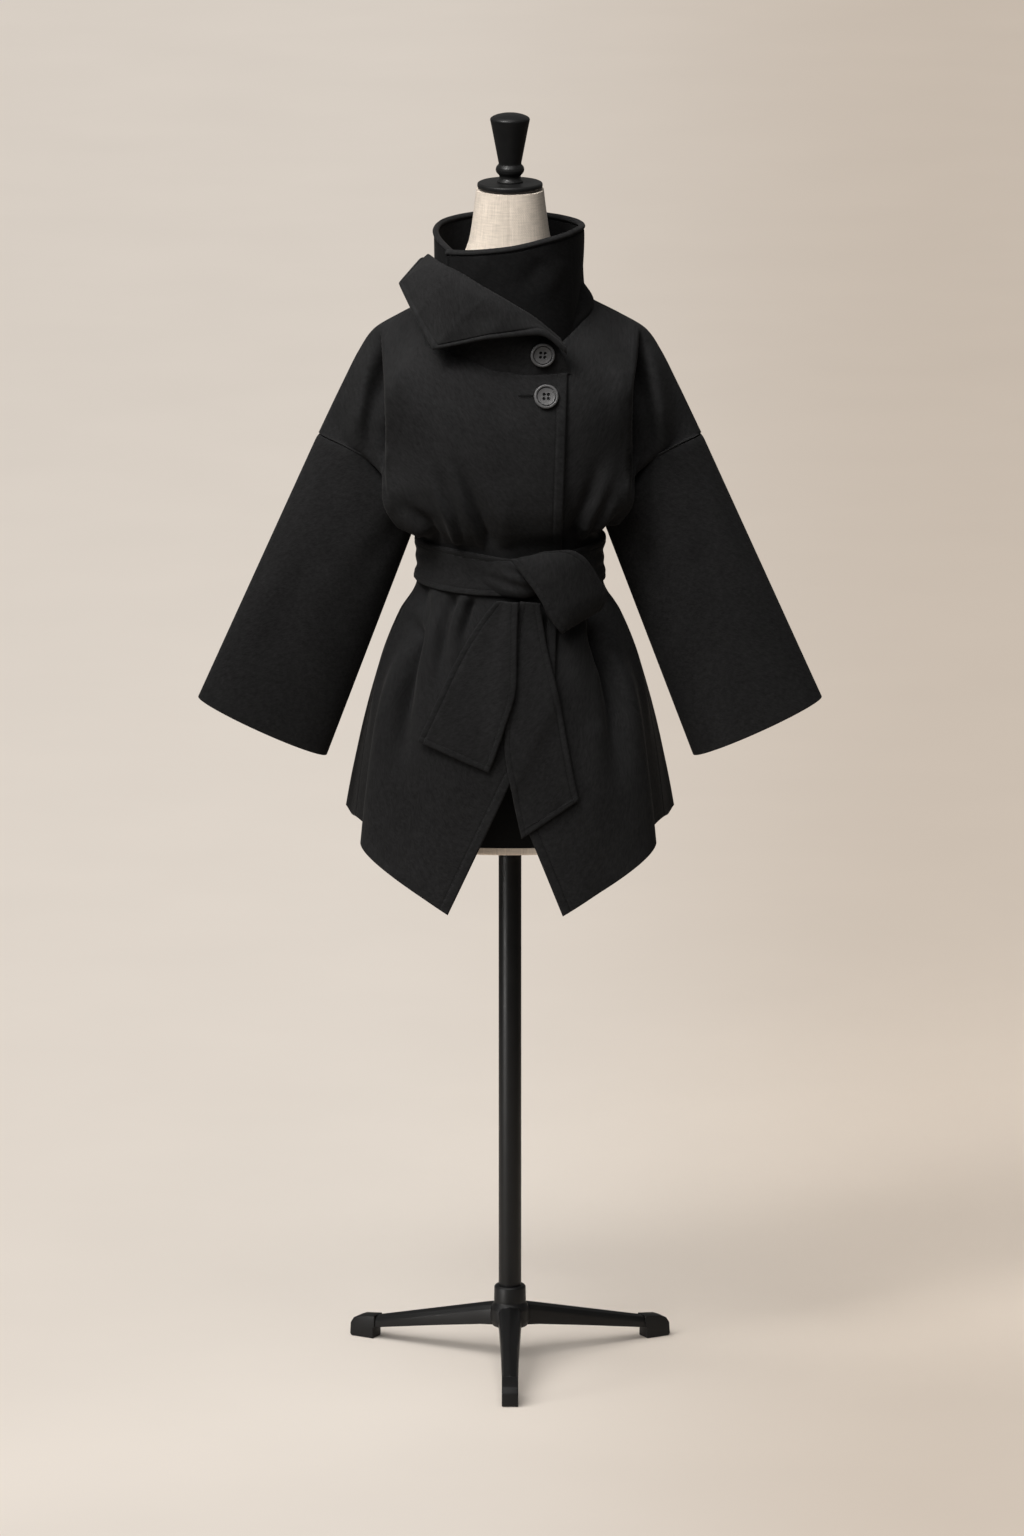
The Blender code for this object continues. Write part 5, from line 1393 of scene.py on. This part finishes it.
tail_right_stitch = stitch_rows("stitches_tail_right", [round_end(tail_right_outer)])
tail_left_stitch = stitch_rows("stitches_tail_left", [round_end(tail_left_outer)])

# %% [markdown]
# Buttons, the finial and the pole are turned: each is a profile spun round an axis. The Screw modifier
# could spin it, but mesh code closes the two poles cleanly. Each corner is cut back a little first,
# because a real edge is never quite sharp and catches the light.


# %% Turned shapes
def turned(profile, steps):
    """A closed mesh round Z from a profile of (radius, height), first and last on the axis."""
    angle = np.linspace(0, 2 * np.pi, steps, endpoint=False)
    points, faces = [], []
    for radius, z in profile[1:-1]:
        points += [(radius * math.cos(a), radius * math.sin(a), z) for a in angle]
    top, bottom = len(points), len(points) + 1
    points += [(0, 0, profile[0][1]), (0, 0, profile[-1][1])]
    for k in range(len(profile) - 3):
        for s in range(steps):
            n = (s + 1) % steps
            faces.append((k * steps + s, (k + 1) * steps + s, (k + 1) * steps + n, k * steps + n))
    last = (len(profile) - 3) * steps
    for s in range(steps):
        n = (s + 1) % steps
        faces.append((top, s, n))
        faces.append((bottom, last + n, last + s))
    return points, faces


def eased_profile(profile, ease):
    """A profile with each corner cut back twice by at most ease, so that it catches the light."""
    points = [np.array(p, float) for p in profile]
    result = [points[0]]
    for before, corner, after in zip(points[:-2], points[1:-1], points[2:]):
        back_way, on_way = before - corner, after - corner
        first = corner + back_way * min(0.4, ease / max(np.linalg.norm(back_way), 1e-6))
        second = corner + on_way * min(0.4, ease / max(np.linalg.norm(on_way), 1e-6))
        result += [first, (first + second) / 4 + corner / 2, second]
    return [tuple(p) for p in result + [points[-1]]]


def solid_piece(name, points, faces, material, sharp=40):
    mesh = bpy.data.meshes.new(name)
    mesh.from_pydata([tuple(p) for p in points], [], faces)
    mesh.polygons.foreach_set("use_smooth", np.ones(len(mesh.polygons), bool))
    work = bmesh.new()
    work.from_mesh(mesh)
    bmesh.ops.recalc_face_normals(work, faces=work.faces)
    work.to_mesh(mesh)
    work.free()
    mesh.set_sharp_from_angle(angle=math.radians(sharp))
    mesh.materials.append(material)
    piece = bpy.data.objects.new(name, mesh)
    scene.collection.objects.link(piece)
    return piece


# %% [markdown]
# Horn, lacquer and powder coat are all dark and hard, and differ in how they break the light. One
# group gives each a faint mottle and fine grain on Object coordinates. Each material then sets its
# own roughness and coat.

# %% Hard finishes
grain_tree, grain_in, grain_out = new_group(
    "fine_grain",
    [("Vector", "NodeSocketVector", None), ("Grain Scale", "NodeSocketFloat", 900.0),
     ("Mottle Scale", "NodeSocketFloat", 60.0), ("Mottle", "NodeSocketFloat", 0.4)],
    SHADE_AND_HEIGHT,
)
fine_noise = node(grain_tree, "ShaderNodeTexNoise", in_Detail=2.0)
mottle_noise = node(grain_tree, "ShaderNodeTexNoise", in_Detail=3.0)
for made, label in ((fine_noise, "Grain Scale"), (mottle_noise, "Mottle Scale")):
    grain_tree.links.new(grain_in.outputs["Vector"], made.inputs["Vector"])
    grain_tree.links.new(grain_in.outputs[label], made.inputs["Scale"])
mottle_part = math_node(grain_tree, "SUBTRACT", mottle_noise.outputs["Fac"], 0.5)
mottle_part = math_node(grain_tree, "MULTIPLY", mottle_part, grain_in.outputs["Mottle"])
mottle_shade = math_node(grain_tree, "ADD", mottle_part, 1.0)
grain_tree.links.new(mottle_shade, grain_out.inputs["Shade"])
grain_tree.links.new(fine_noise.outputs["Fac"], grain_out.inputs["Height"])


def hard_material(name, colour, rough, bump, grain, mottle, coat=0.0, metal=0.0):
    material = bpy.data.materials.new(name)
    material.use_nodes = True
    tree = material.node_tree
    shader = tree.nodes["Principled BSDF"]
    shader.inputs["Coat Weight"].default_value = coat
    shader.inputs["Coat Roughness"].default_value = 0.2
    shader.inputs["Specular IOR Level"].default_value = 0.22
    shader.inputs["Metallic"].default_value = metal
    group = node(tree, "ShaderNodeGroup", node_tree=grain_tree)
    group.inputs["Grain Scale"].default_value = grain
    group.inputs["Mottle Scale"].default_value = mottle
    place = tree.nodes.new("ShaderNodeTexCoord")
    tree.links.new(place.outputs["Object"], group.inputs["Vector"])
    tie_finish(material, group, colour, bump, 0.0002)
    dull = math_node(tree, "MULTIPLY", group.outputs["Shade"], rough)
    tree.links.new(dull, shader.inputs["Roughness"])
    return material


HORN = hard_material("dark_horn", (0.082, 0.081, 0.082), 0.5, 0.15, 1500, 160, coat=0.1)
LACQUER = hard_material("black_lacquer", (0.0095, 0.0095, 0.0095), 0.34, 0.05, 1200, 70)
POWDER = hard_material("black_powder_coat", (0.0055, 0.0055, 0.0056), 0.42, 0.2, 1800, 50)
RUBBER = hard_material("black_rubber", (0.006, 0.006, 0.006), 0.5, 0.2, 900, 40)
print("hard finishes:", HORN.name, LACQUER.name, POWDER.name, RUBBER.name)

# %% [markdown]
# The two buttons are turned discs with a raised rim, a dished middle and four holes, sewn on through
# them with thread. The disc is a spun profile, and a Boolean drills its holes, so that they are real.
# Its place and tilt are read from the button's own solid.

# %% Buttons
BUTTON_RADIUS, BUTTON_THICK, HOLE_PITCH, HOLE_RADIUS = 17, 5, 6.0, 2.3
R, T = BUTTON_RADIUS, BUTTON_THICK
BUTTON = [(0, T - 2.2), (0.35 * R, T - 2.1), (0.55 * R, T - 1.8), (0.64 * R, T - 1.4), (0.70 * R, T - 1.1),
          (0.72 * R, T - 3.0), (0.785 * R, T - 3.0), (0.805 * R, T - 0.4), (0.84 * R, T - 0.05),
          (0.89 * R, T), (0.95 * R, T - 0.4), (0.985 * R, T - 1.0), (R, T - 2.0), (0.985 * R, 1.6),
          (0.95 * R, 0.8), (0.85 * R, 0.1), (0.80 * R, 0), (0, 0)]


def solid_place(name):
    """A matrix at a flat round solid's middle, with Z along its short axis, towards the viewer."""
    spots = np.array([v.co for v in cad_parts[name].data.vertices])
    middle = (spots.min(axis=0) + spots.max(axis=0)) / 2
    axis = np.linalg.svd(spots - spots.mean(axis=0), full_matrices=False)[2][2]
    axis = axis if axis[1] < 0 else -axis
    along = (spots - middle) @ axis
    base = middle + axis * along.min()
    turn = Vector((0, 0, 1)).rotation_difference(Vector(axis)).to_matrix().to_4x4()
    return Matrix.Translation(Vector(base)) @ turn


def hole_spots(z):
    """A matrix at each of the four holes, at height z."""
    sides = (-0.5 * HOLE_PITCH, 0.5 * HOLE_PITCH)
    return [Matrix.Translation((x * MM, y * MM, z * MM)) for x in sides for y in sides]


def button_piece(name, solid):
    points, faces = turned([(r * MM, z * MM) for r, z in BUTTON], 72)
    piece = solid_piece(name, points, faces, HORN, 60)
    holes = bmesh.new()
    for spot in hole_spots(0):
        bmesh.ops.create_cone(holes, cap_ends=True, segments=20, radius1=HOLE_RADIUS * MM,
                              radius2=HOLE_RADIUS * MM, depth=20 * MM, matrix=spot)
    hole_mesh = bpy.data.meshes.new("button_holes")
    holes.to_mesh(hole_mesh)
    holes.free()
    drill = bpy.data.objects.new("button_holes", hole_mesh)
    scene.collection.objects.link(drill)
    cut = piece.modifiers.new("holes", "BOOLEAN")
    cut.object = drill
    cut.operation = "DIFFERENCE"
    cut.solver = "EXACT"
    plain_mesh(piece)
    bpy.data.objects.remove(drill)
    piece.data.set_sharp_from_angle(angle=math.radians(35))
    piece.data.transform(solid_place(solid))
    return piece


def button_thread(name, solid):
    """Thread through the four holes, sunk under the face, and the shank behind the button."""
    work = bmesh.new()
    for spot in hole_spots((T - 5.8) / 2):
        bmesh.ops.create_cone(work, cap_ends=True, segments=12, radius1=1.5 * MM, radius2=1.3 * MM,
                              depth=(T - 1.8) * MM, matrix=spot)
    mesh = bpy.data.meshes.new(name)
    work.to_mesh(mesh)
    work.free()
    mesh.uv_layers.new(name="cloth")
    mesh.materials.append(THREAD)
    mesh.transform(solid_place(solid))
    piece = bpy.data.objects.new(name, mesh)
    scene.collection.objects.link(piece)
    return piece


button_pieces = {n: button_piece("coat_" + n, n) for n in ("button_upper", "button_lower")}
thread_pieces = {n: button_thread(n + "_thread", n) for n in ("button_upper", "button_lower")}
print("button faces", len(button_pieces["button_upper"].data.polygons))

# %% [markdown]
# Each buttonhole is a slit bound with close satin stitches. It lies level, on the side of the button
# away from the edge. The binding is the same stitch tool with a very short pitch, run round the slit,
# and the shade in the slit is painted: a thin dark strip sunk between the two rows.


# %% Buttonholes
def on_cloth(cloth, x, z):
    """The cloth's depth at a place seen from the front, from its nearest points."""
    away = np.hypot(cloth[:, 0] - x, cloth[:, 2] - z)
    near = np.argsort(away)[:12]
    near = near[cloth[near, 1] < cloth[near, 1].min() + 3]
    weight = 1 / (away[near] + 0.3) ** 2
    return float((cloth[near, 1] * weight).sum() / weight.sum())


def buttonhole(name, cloth, left, right, z):
    angle = np.linspace(0, 2 * np.pi, 65)
    reach, half = (right - left) / 2, 1.7
    x = (left + right) / 2 + np.sign(np.cos(angle)) * (reach - half) + half * np.cos(angle)
    up = z + half * np.sin(angle)
    ring = np.array([(p, on_cloth(cloth, p, q) - 0.25, q) for p, q in zip(x, up)])
    binding = stitch_rows(name + "_binding", [ring], 0.0011)
    spots = np.linspace(left + 1.2, right - 1.2, 12)
    slit = np.array([[(p, on_cloth(cloth, p, z) - 0.15, z + h) for p in spots]
                     for h in (-0.8, -0.3, 0.3, 0.8)])
    # Painted shadow: this dark strip stands for the shade inside the slit.
    strip, _ = shell(name + "_slit", slit, np.full(slit.shape[:2], 0.25), material=LINING)
    return [binding, strip]


lapel_inner = 2 * lapel_mid - lapel_outer
hole_pieces = buttonhole("buttonhole_lower", right_outer[:80].reshape(-1, 3), 11, 33, 1415)
hole_pieces += buttonhole("buttonhole_upper", lapel_inner[:30].reshape(-1, 3), 8, 29, 1476)

# %% [markdown]
# The form is covered in natural linen, a plain weave of uneven threads. Its slubs show as short streaks
# both ways. One group crosses two drawn-out noises and adds the fine grid of threads to the height, on
# the cover's own UV map. The rim at the foot of the form takes a paler copy of the same linen, painted
# light for a band that sits in the coat's shade.

# %% Linen
weave_tree, weave_in, weave_out = new_group(
    "plain_weave",
    [("Vector", "NodeSocketVector", None), ("Threads", "NodeSocketFloat", 1500.0),
     ("Slub", "NodeSocketFloat", 0.6)],
    SHADE_AND_HEIGHT,
)
weave_vector = weave_in.outputs["Vector"]
upright = noise(weave_tree, stretched(weave_tree, weave_vector, 0, (1, 14, 1)), 460, 3, 0.6)
level = noise(weave_tree, stretched(weave_tree, weave_vector, 0, (14, 1, 1)), 520, 3, 0.6)
patch = noise(weave_tree, stretched(weave_tree, weave_vector, 0, (1, 3, 1)), 60, 4, 0.6)
apart = node(weave_tree, "ShaderNodeSeparateXYZ")
weave_tree.links.new(weave_vector, apart.inputs[0])
thread_count = weave_in.outputs["Threads"]
warp = math_node(weave_tree, "SINE", math_node(weave_tree, "MULTIPLY", apart.outputs["X"], thread_count), 0)
weft = math_node(weave_tree, "SINE", math_node(weave_tree, "MULTIPLY", apart.outputs["Y"], thread_count), 0)
threads = math_node(weave_tree, "MULTIPLY", warp, weft)
slubs = math_node(weave_tree, "SUBTRACT", math_node(weave_tree, "ADD", upright, level), 1.0)
patches = math_node(weave_tree, "MULTIPLY", math_node(weave_tree, "SUBTRACT", patch, 0.5), 0.30)
streaks = math_node(weave_tree, "MULTIPLY", slubs, weave_in.outputs["Slub"])
weave_shade = math_node(weave_tree, "ADD", math_node(weave_tree, "ADD", streaks, patches), 1.0)
weave_tree.links.new(weave_shade, weave_out.inputs["Shade"])
weave_tree.links.new(math_node(weave_tree, "ADD", slubs, math_node(weave_tree, "MULTIPLY", threads, 0.4)),
                     weave_out.inputs["Height"])


def linen_material(name, colour):
    material = bpy.data.materials.new(name)
    material.use_nodes = True
    tree = material.node_tree
    shader = tree.nodes["Principled BSDF"]
    shader.inputs["Roughness"].default_value = 0.88
    shader.inputs["Specular IOR Level"].default_value = 0.25
    shader.inputs["Sheen Weight"].default_value = 0.08
    group = node(tree, "ShaderNodeGroup", node_tree=weave_tree)
    place = node(tree, "ShaderNodeUVMap", uv_map="cloth")
    tree.links.new(place.outputs["UV"], group.inputs["Vector"])
    tie_finish(material, group, colour, 0.4, 0.0005)
    return material


LINEN = linen_material("natural_linen", (0.56, 0.49, 0.415))
# Painted light: the rim's paler linen stands in for light on a band that lies in the coat's shade.
RIM_LINEN_PAINTED_LIGHT = linen_material("natural_linen_rim_painted_light", (0.76, 0.66, 0.555))
print("linen finishes:", LINEN.name, RIM_LINEN_PAINTED_LIGHT.name)

# %% [markdown]
# The form itself is padded: a stack of rounded rings from the waist to the neck, with a dark trunk and a
# narrow rim below. A lofted mesh follows the part's own rings. The cover is sewn from panels, so a seam
# runs down the middle of the front and back and down each side, as a small trough in every ring.

# %% Dress form
FormRing = namedtuple("FormRing", "z width front back")
BUST = [
    FormRing(1055, 134, 99, 104), FormRing(1110, 119, 92, 92), FormRing(1161, 111, 88, 85),
    FormRing(1215, 117, 96, 90), FormRing(1270, 130, 112, 98), FormRing(1320, 141, 122, 102),
    FormRing(1370, 149, 119, 102), FormRing(1415, 155, 108, 97), FormRing(1444, 158, 92, 88),
    FormRing(1468, 157, 74, 74), FormRing(1487, 150, 58, 62), FormRing(1501, 136, 47.5, 53),
    FormRing(1513, 104, 42, 47), FormRing(1530, 88, 49, 51), FormRing(1565, 73, 60, 57),
    FormRing(1596, 62.5, 60, 57), FormRing(1612, 57, 57, 54), FormRing(1650, 51, 52, 50),
    FormRing(1683, 47, 47, 46),
]
TRUNK = [
    FormRing(766, 148, 100, 106), FormRing(800, 152, 103, 110), FormRing(860, 155, 106, 113),
    FormRing(930, 153, 107, 113), FormRing(1000, 145, 104, 109), FormRing(1054.7, 134, 99, 104),
]
RIM = [FormRing(755, 143, 96, 102), FormRing(757.5, 146, 98.5, 104.5), FormRing(765.7, 148, 100, 106)]
FORM_POWER, FORM_COLUMNS, SEAM_ANGLE = 2.25, 176, 0.02


def ring_faces(rings, count):
    """Quads between neighbouring rings of count points each."""
    return [(r * count + c, r * count + (c + 1) % count,
             (r + 1) * count + (c + 1) % count, (r + 1) * count + c)
            for r in range(rings - 1) for c in range(count)]


def form_piece(name, rows, steps, material, seam):
    rows = table(rows)
    rows = along_rows(rows, np.diff(rows[:, 0]), np.linspace(0, len(rows) - 1, steps))
    count = FORM_COLUMNS
    angle = np.linspace(0, 2 * np.pi, count, endpoint=False)
    around = lambda value: np.sign(value) * np.abs(value) ** (2 / FORM_POWER)
    side, deep = around(np.cos(angle)), around(np.sin(angle))
    to_seam = [np.angle(np.exp(1j * (angle - k * np.pi / 2))) / SEAM_ANGLE for k in range(4)]
    trough = 1 - seam * sum(np.exp(-(turn ** 2)) for turn in to_seam)
    rings = [columns(w * side * trough, np.where(deep < 0, f, b) * deep * trough, z) for z, w, f, b in rows]
    points = np.array(rings)
    size = len(rings)
    faces = ring_faces(size, count)
    faces += [tuple(range(count))[::-1], tuple((size - 1) * count + k for k in range(count))]
    piece = solid_piece(name, to_world(points.reshape(-1, 3)), faces, material, 50)
    uv = piece.data.uv_layers.new(name="cloth")
    for loop in piece.data.loops:
        x, y, z = piece.data.vertices[loop.vertex_index].co
        uv.data[loop.index].uv = (math.atan2(y - AXIS_Y * MM, x) * 0.075, z)
    return piece


form_bust = form_piece("form_bust_cover", BUST, 140, LINEN, 0.012)
form_trunk = form_piece("form_trunk_cover", TRUNK, 40, LINING, 0.004)
form_rim = form_piece("form_rim_band", RIM, 9, RIM_LINEN_PAINTED_LIGHT, 0.0)
print("form faces", len(form_bust.data.polygons))

# %% [markdown]
# The finial, neck plate and pole are turned on a lathe, so each is its profile spun round the pole's
# axis, with the corners eased. A profile keeps every ring of the finial in one short list of radius
# and height, which is easy to compare with the photograph.

# %% Finial, plate and pole
FINIAL = [(0, 1790), (7, 1789.8), (14, 1788.9), (20, 1787.3), (24.5, 1785.3), (26.9, 1783.5), (27.7, 1781.6),
          (27.3, 1779.4), (26.4, 1775), (24.6, 1766), (22.7, 1756), (20.8, 1746), (18.9, 1736), (17.0, 1726),
          (15.9, 1720.5), (15.9, 1718.4), (17.5, 1716.8), (19.2, 1714.4), (20, 1711), (19.2, 1707.6),
          (17.5, 1705.3), (15.6, 1703.4), (14.8, 1701.5), (15, 1699), (16.2, 1696.8), (18, 1695),
          (18, 1693.3), (0, 1693.3)]
PLATE = [(0, 1693), (43, 1693), (45.3, 1691.5), (45.5, 1688), (44.5, 1684.5), (42, 1683.3), (0, 1683.3)]
POLE = [(0, 754.7), (16, 754.7), (16, 107.8), (0, 107.8)]


def turned_piece(name, profile, ease, material, steps=96):
    points, faces = turned(eased_profile(profile, ease), steps)
    return solid_piece(name, to_world(points), faces, material, 40)


finial = turned_piece("stand_finial", FINIAL, 0.4, LACQUER)
neck_plate = turned_piece("form_neck_plate", PLATE, 0.8, LACQUER)
pole = turned_piece("stand_pole", POLE, 0.8, POWDER)
print("turned pieces:", finial.name, neck_plate.name, pole.name)

# %% [markdown]
# The base is cast: a hub with three legs whose tops fall away from a ridge. The legs are lofts through
# four sections with a small bevel, run into the hub. Each ends in a rubber foot drawn from its side.

# %% Base and feet
HUB = [(0, 107.5), (20.2, 107.5), (22.2, 105.2), (22.6, 86), (22.2, 83), (25, 79), (27.5, 73), (28, 57),
       (25, 49), (18, 46), (0, 46)]
Leg = namedtuple("Leg", "reach half_top half_bottom ridge_z shoulder_z bottom_z")
LEG = [Leg(4, 13, 17, 85, 82, 51), Leg(40, 11.5, 15.5, 77, 74, 47), Leg(120, 9.5, 13, 57.5, 54.5, 33.5),
       Leg(216, 8.5, 11, 34, 31.5, 16.5)]
FOOT = [(219, 0), (254.5, 0), (257, 3), (256, 19), (251, 27), (241, 31), (216.4, 33.6), (216.4, 15.8),
        (219, 15.6)]
FOOT_HALF = 11.5
HEADINGS = {"foot_front": -90, "foot_right": 30, "foot_left": 150}


def bevelled(piece, width):
    bevel = piece.modifiers.new("soft_edges", "BEVEL")
    bevel.width = width * MM
    bevel.segments = 3
    bevel.limit_method = "ANGLE"
    bevel.angle_limit = math.radians(25)
    bevel.harden_normals = False
    plain_mesh(piece)
    piece.data.set_sharp_from_angle(angle=math.radians(30))
    return piece


def leg_points(heading):
    ahead = np.array([math.cos(heading), math.sin(heading)])
    aside = np.array([-ahead[1], ahead[0]])
    points = []
    for leg in LEG:
        outline = [(-leg.half_bottom, leg.bottom_z), (leg.half_bottom, leg.bottom_z),
                   (leg.half_bottom, leg.shoulder_z - 6), (leg.half_top, leg.shoulder_z), (0, leg.ridge_z),
                   (-leg.half_top, leg.shoulder_z), (-leg.half_bottom, leg.shoulder_z - 6)]
        points += [(*(ahead * leg.reach + aside * s), z) for s, z in outline]
    return points


def base_piece():
    points, faces = turned(eased_profile(HUB, 1.0), 96)
    hub = solid_piece("stand_base", to_world(points), faces, POWDER, 40)
    joined = bmesh.new()
    joined.from_mesh(hub.data)
    for heading in HEADINGS.values():
        ring = 7
        legs = leg_points(math.radians(heading))
        sides = ring_faces(len(LEG), ring)
        ends = [tuple(range(ring)), tuple((len(LEG) - 1) * ring + k for k in range(ring))]
        leg = bevelled(solid_piece("stand_leg", to_world(legs), sides + ends, POWDER), 1.6)
        joined.from_mesh(leg.data)
        bpy.data.objects.remove(leg)
    joined.to_mesh(hub.data)
    joined.free()
    return hub


def foot_piece(name, heading):
    count = len(FOOT)
    ahead = np.array([math.cos(heading), math.sin(heading)])
    aside = np.array([-ahead[1], ahead[0]])
    points = [(*(ahead * reach + aside * side * FOOT_HALF), z) for side in (-1, 1) for reach, z in FOOT]
    faces = [(k, (k + 1) % count, count + (k + 1) % count, count + k) for k in range(count)]
    faces += [tuple(range(count)), tuple(range(count, 2 * count))]
    return bevelled(solid_piece("stand_" + name, to_world(points), faces, RUBBER), 1.4)


base = base_piece()
feet = {name: foot_piece(name, math.radians(heading)) for name, heading in HEADINGS.items()}
print("base faces", len(base.data.polygons))

# %% [markdown]
# The floor is a plain pale screed with the faintest clouds, far wider than the frame. The light on it
# falls off to the right and a little with depth, and the screed's tint carries that as painted shade: it
# is read from the floor's own coordinates, as an angle from the spot where the camera stands. Outside the
# frame it is dim, as a dark studio is, so the floor does not fill the folds of the coat with light.

# %% Floor
def multiplied(tree, first, second):
    made = node(tree, "ShaderNodeMix", data_type="RGBA", blend_type="MULTIPLY")
    made.inputs["Factor"].default_value = 1.0
    tree.links.new(first, made.inputs["A"])
    tree.links.new(second, made.inputs["B"])
    return made.outputs["Result"]


def ranged(tree, value, start, end, curve="SMOOTHSTEP"):
    """A value carried from one range to another; start and end are (value, result) pairs."""
    made = node(tree, "ShaderNodeMapRange", interpolation_type=curve)
    made.inputs["From Min"].default_value, made.inputs["To Min"].default_value = start
    made.inputs["From Max"].default_value, made.inputs["To Max"].default_value = end
    tree.links.new(value, made.inputs["Value"])
    return made.outputs["Result"]


SCREED = hard_material("pale_screed", (0.80, 0.735, 0.668), 0.9, 0.02, 300, 3.0)
DIM_OUTSIDE = 0.12
screed = SCREED.node_tree
screed_group = next(n for n in screed.nodes if n.type == "GROUP")
screed_group.inputs["Mottle"].default_value = 0.05
floor_place = next(n for n in screed.nodes if n.type == "TEX_COORD").outputs["Object"]
floor_axes = node(screed, "ShaderNodeSeparateXYZ")
screed.links.new(floor_place, floor_axes.inputs[0])
floor_depth = floor_axes.outputs["Y"]
from_camera = math_node(screed, "ADD", floor_depth, CAMERA_BACK)
aside = math_node(screed, "DIVIDE", floor_axes.outputs["X"], from_camera)
# Painted shade: the screed's tint darkens to the right, and a little with depth, as the light falls off.
painted_side_shade = node(screed, "ShaderNodeMix", data_type="RGBA")
painted_side_shade.inputs["A"].default_value = (1, 1, 1, 1)
painted_side_shade.inputs["B"].default_value = (0.83, 0.79, 0.75, 1)
screed.links.new(ranged(screed, aside, (-0.014, 0), (0.036, 1)), painted_side_shade.inputs["Factor"])
painted_depth_shade = ranged(screed, floor_depth, (-2.0, 1.07), (7.0, 0.93), "LINEAR")
near_fall = ranged(screed, floor_depth, (-1.7, DIM_OUTSIDE), (-1.05, 1.0))
wide_fall = ranged(screed, math_node(screed, "ABSOLUTE", aside, 0.0), (0.043, 1.0), (0.085, DIM_OUTSIDE))
outside = math_node(screed, "MULTIPLY", near_fall, wide_fall)
screed_shader = screed.nodes["Principled BSDF"]
floor_colour = screed_shader.inputs["Base Color"].links[0].from_socket
for shade in (painted_side_shade.outputs["Result"], painted_depth_shade, outside):
    floor_colour = multiplied(screed, floor_colour, shade)
screed.links.new(floor_colour, screed_shader.inputs["Base Color"])
screed_shader.inputs["Specular IOR Level"].default_value = 0.1

floor_points, floor_faces = turned([(0, 0), (6, 0), (60, 0), (60, -0.2), (0, -0.2)], 128)
floor = solid_piece("studio_floor", floor_points, floor_faces, SCREED)
floor.data.transform(Matrix.Translation((0, 0, -0.0004)))
print("floor faces", len(floor.data.polygons))

# %% [markdown]
# Last, every piece is tied to the part: it rides on the one body and stands for its solid. The cloth
# pieces also state the flat size that they were cut to.

# %% Tie the pieces to the part
Cut = namedtuple("Cut", "piece solid flat area held rests_on with_pieces")


def cut_of(piece, solid, flat, mid, held, rests_on, with_pieces=(), ring=False):
    area = middle_area(mid, ring)
    print(piece.name, "cloth area", round(area, 4), "of cut", flat, round(area / (flat[0] * flat[1]), 3))
    return Cut(piece, solid, flat, area, held, rests_on, with_pieces)


CUTS = [
    cut_of(front_right, "front_right", (0.46, 0.96), right_mid, "hung", ["form_bust"], [right_stitch]),
    cut_of(front_left, "front_left", (0.46, 0.96), left_mid, "hung", ["form_bust"], [left_stitch]),
    cut_of(back, "back", (0.66, 0.95), back_mid, "hung", ["form_bust"]),
    cut_of(sleeve_left, "sleeve_left", (0.52, 0.44), sleeve_mid, "hung", ["front_left", "back"], ring=True),
    cut_of(sleeve_right, "sleeve_right", (0.52, 0.44), mirrored, "hung", ["front_right", "back"], ring=True),
    cut_of(collar_band, "collar_band", (0.70, 0.18), collar_mid, "draped", ["back"], [collar_stitch]),
    cut_of(collar_lapel, "collar_lapel", (0.39, 0.24), lapel_mid, "folded", ["front_right"], [flap_stitch]),
    cut_of(belt_band, "belt_band", (0.80, 0.066), belt_mid, "stretched", ["front_right", "back"],
           [belt_stitch], True),
    cut_of(belt_loop, "belt_loop", (0.26, 0.092), loop_mid, "folded", ["belt_knot"], [loop_stitch]),
    cut_of(belt_tail_right, "belt_tail_right", (0.345, 0.10), tail_right_mid, "hung", ["front_right"],
           [tail_right_stitch]),
    cut_of(belt_tail_left, "belt_tail_left", (0.255, 0.112), tail_left_mid, "hung", ["belt_tail_right"],
           [tail_left_stitch]),
]
for cut in CUTS:
    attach(cut.piece, "root")
    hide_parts(cut.solid)
    for extra in cut.with_pieces:
        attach(extra, "root")

STANDS = [(belt_knot, "belt_knot", "wool"), (form_bust, "form_bust", "linen"),
          (form_trunk, "form_trunk", "dark_cloth"), (form_rim, "form_rim", "linen"),
          (finial, "finial", "lacquer"), (neck_plate, "neck_plate", "lacquer"),
          (pole, "pole", "stand_metal"), (base, "base", "stand_metal")]
STANDS += [(piece, name, "pad") for name, piece in feet.items()]
STANDS += [(piece, name, "button") for name, piece in button_pieces.items()]
for piece, solid, slot in STANDS:
    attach(piece, "root")
    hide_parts(solid)
for piece in list(thread_pieces.values()) + hole_pieces:
    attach(piece, "root")
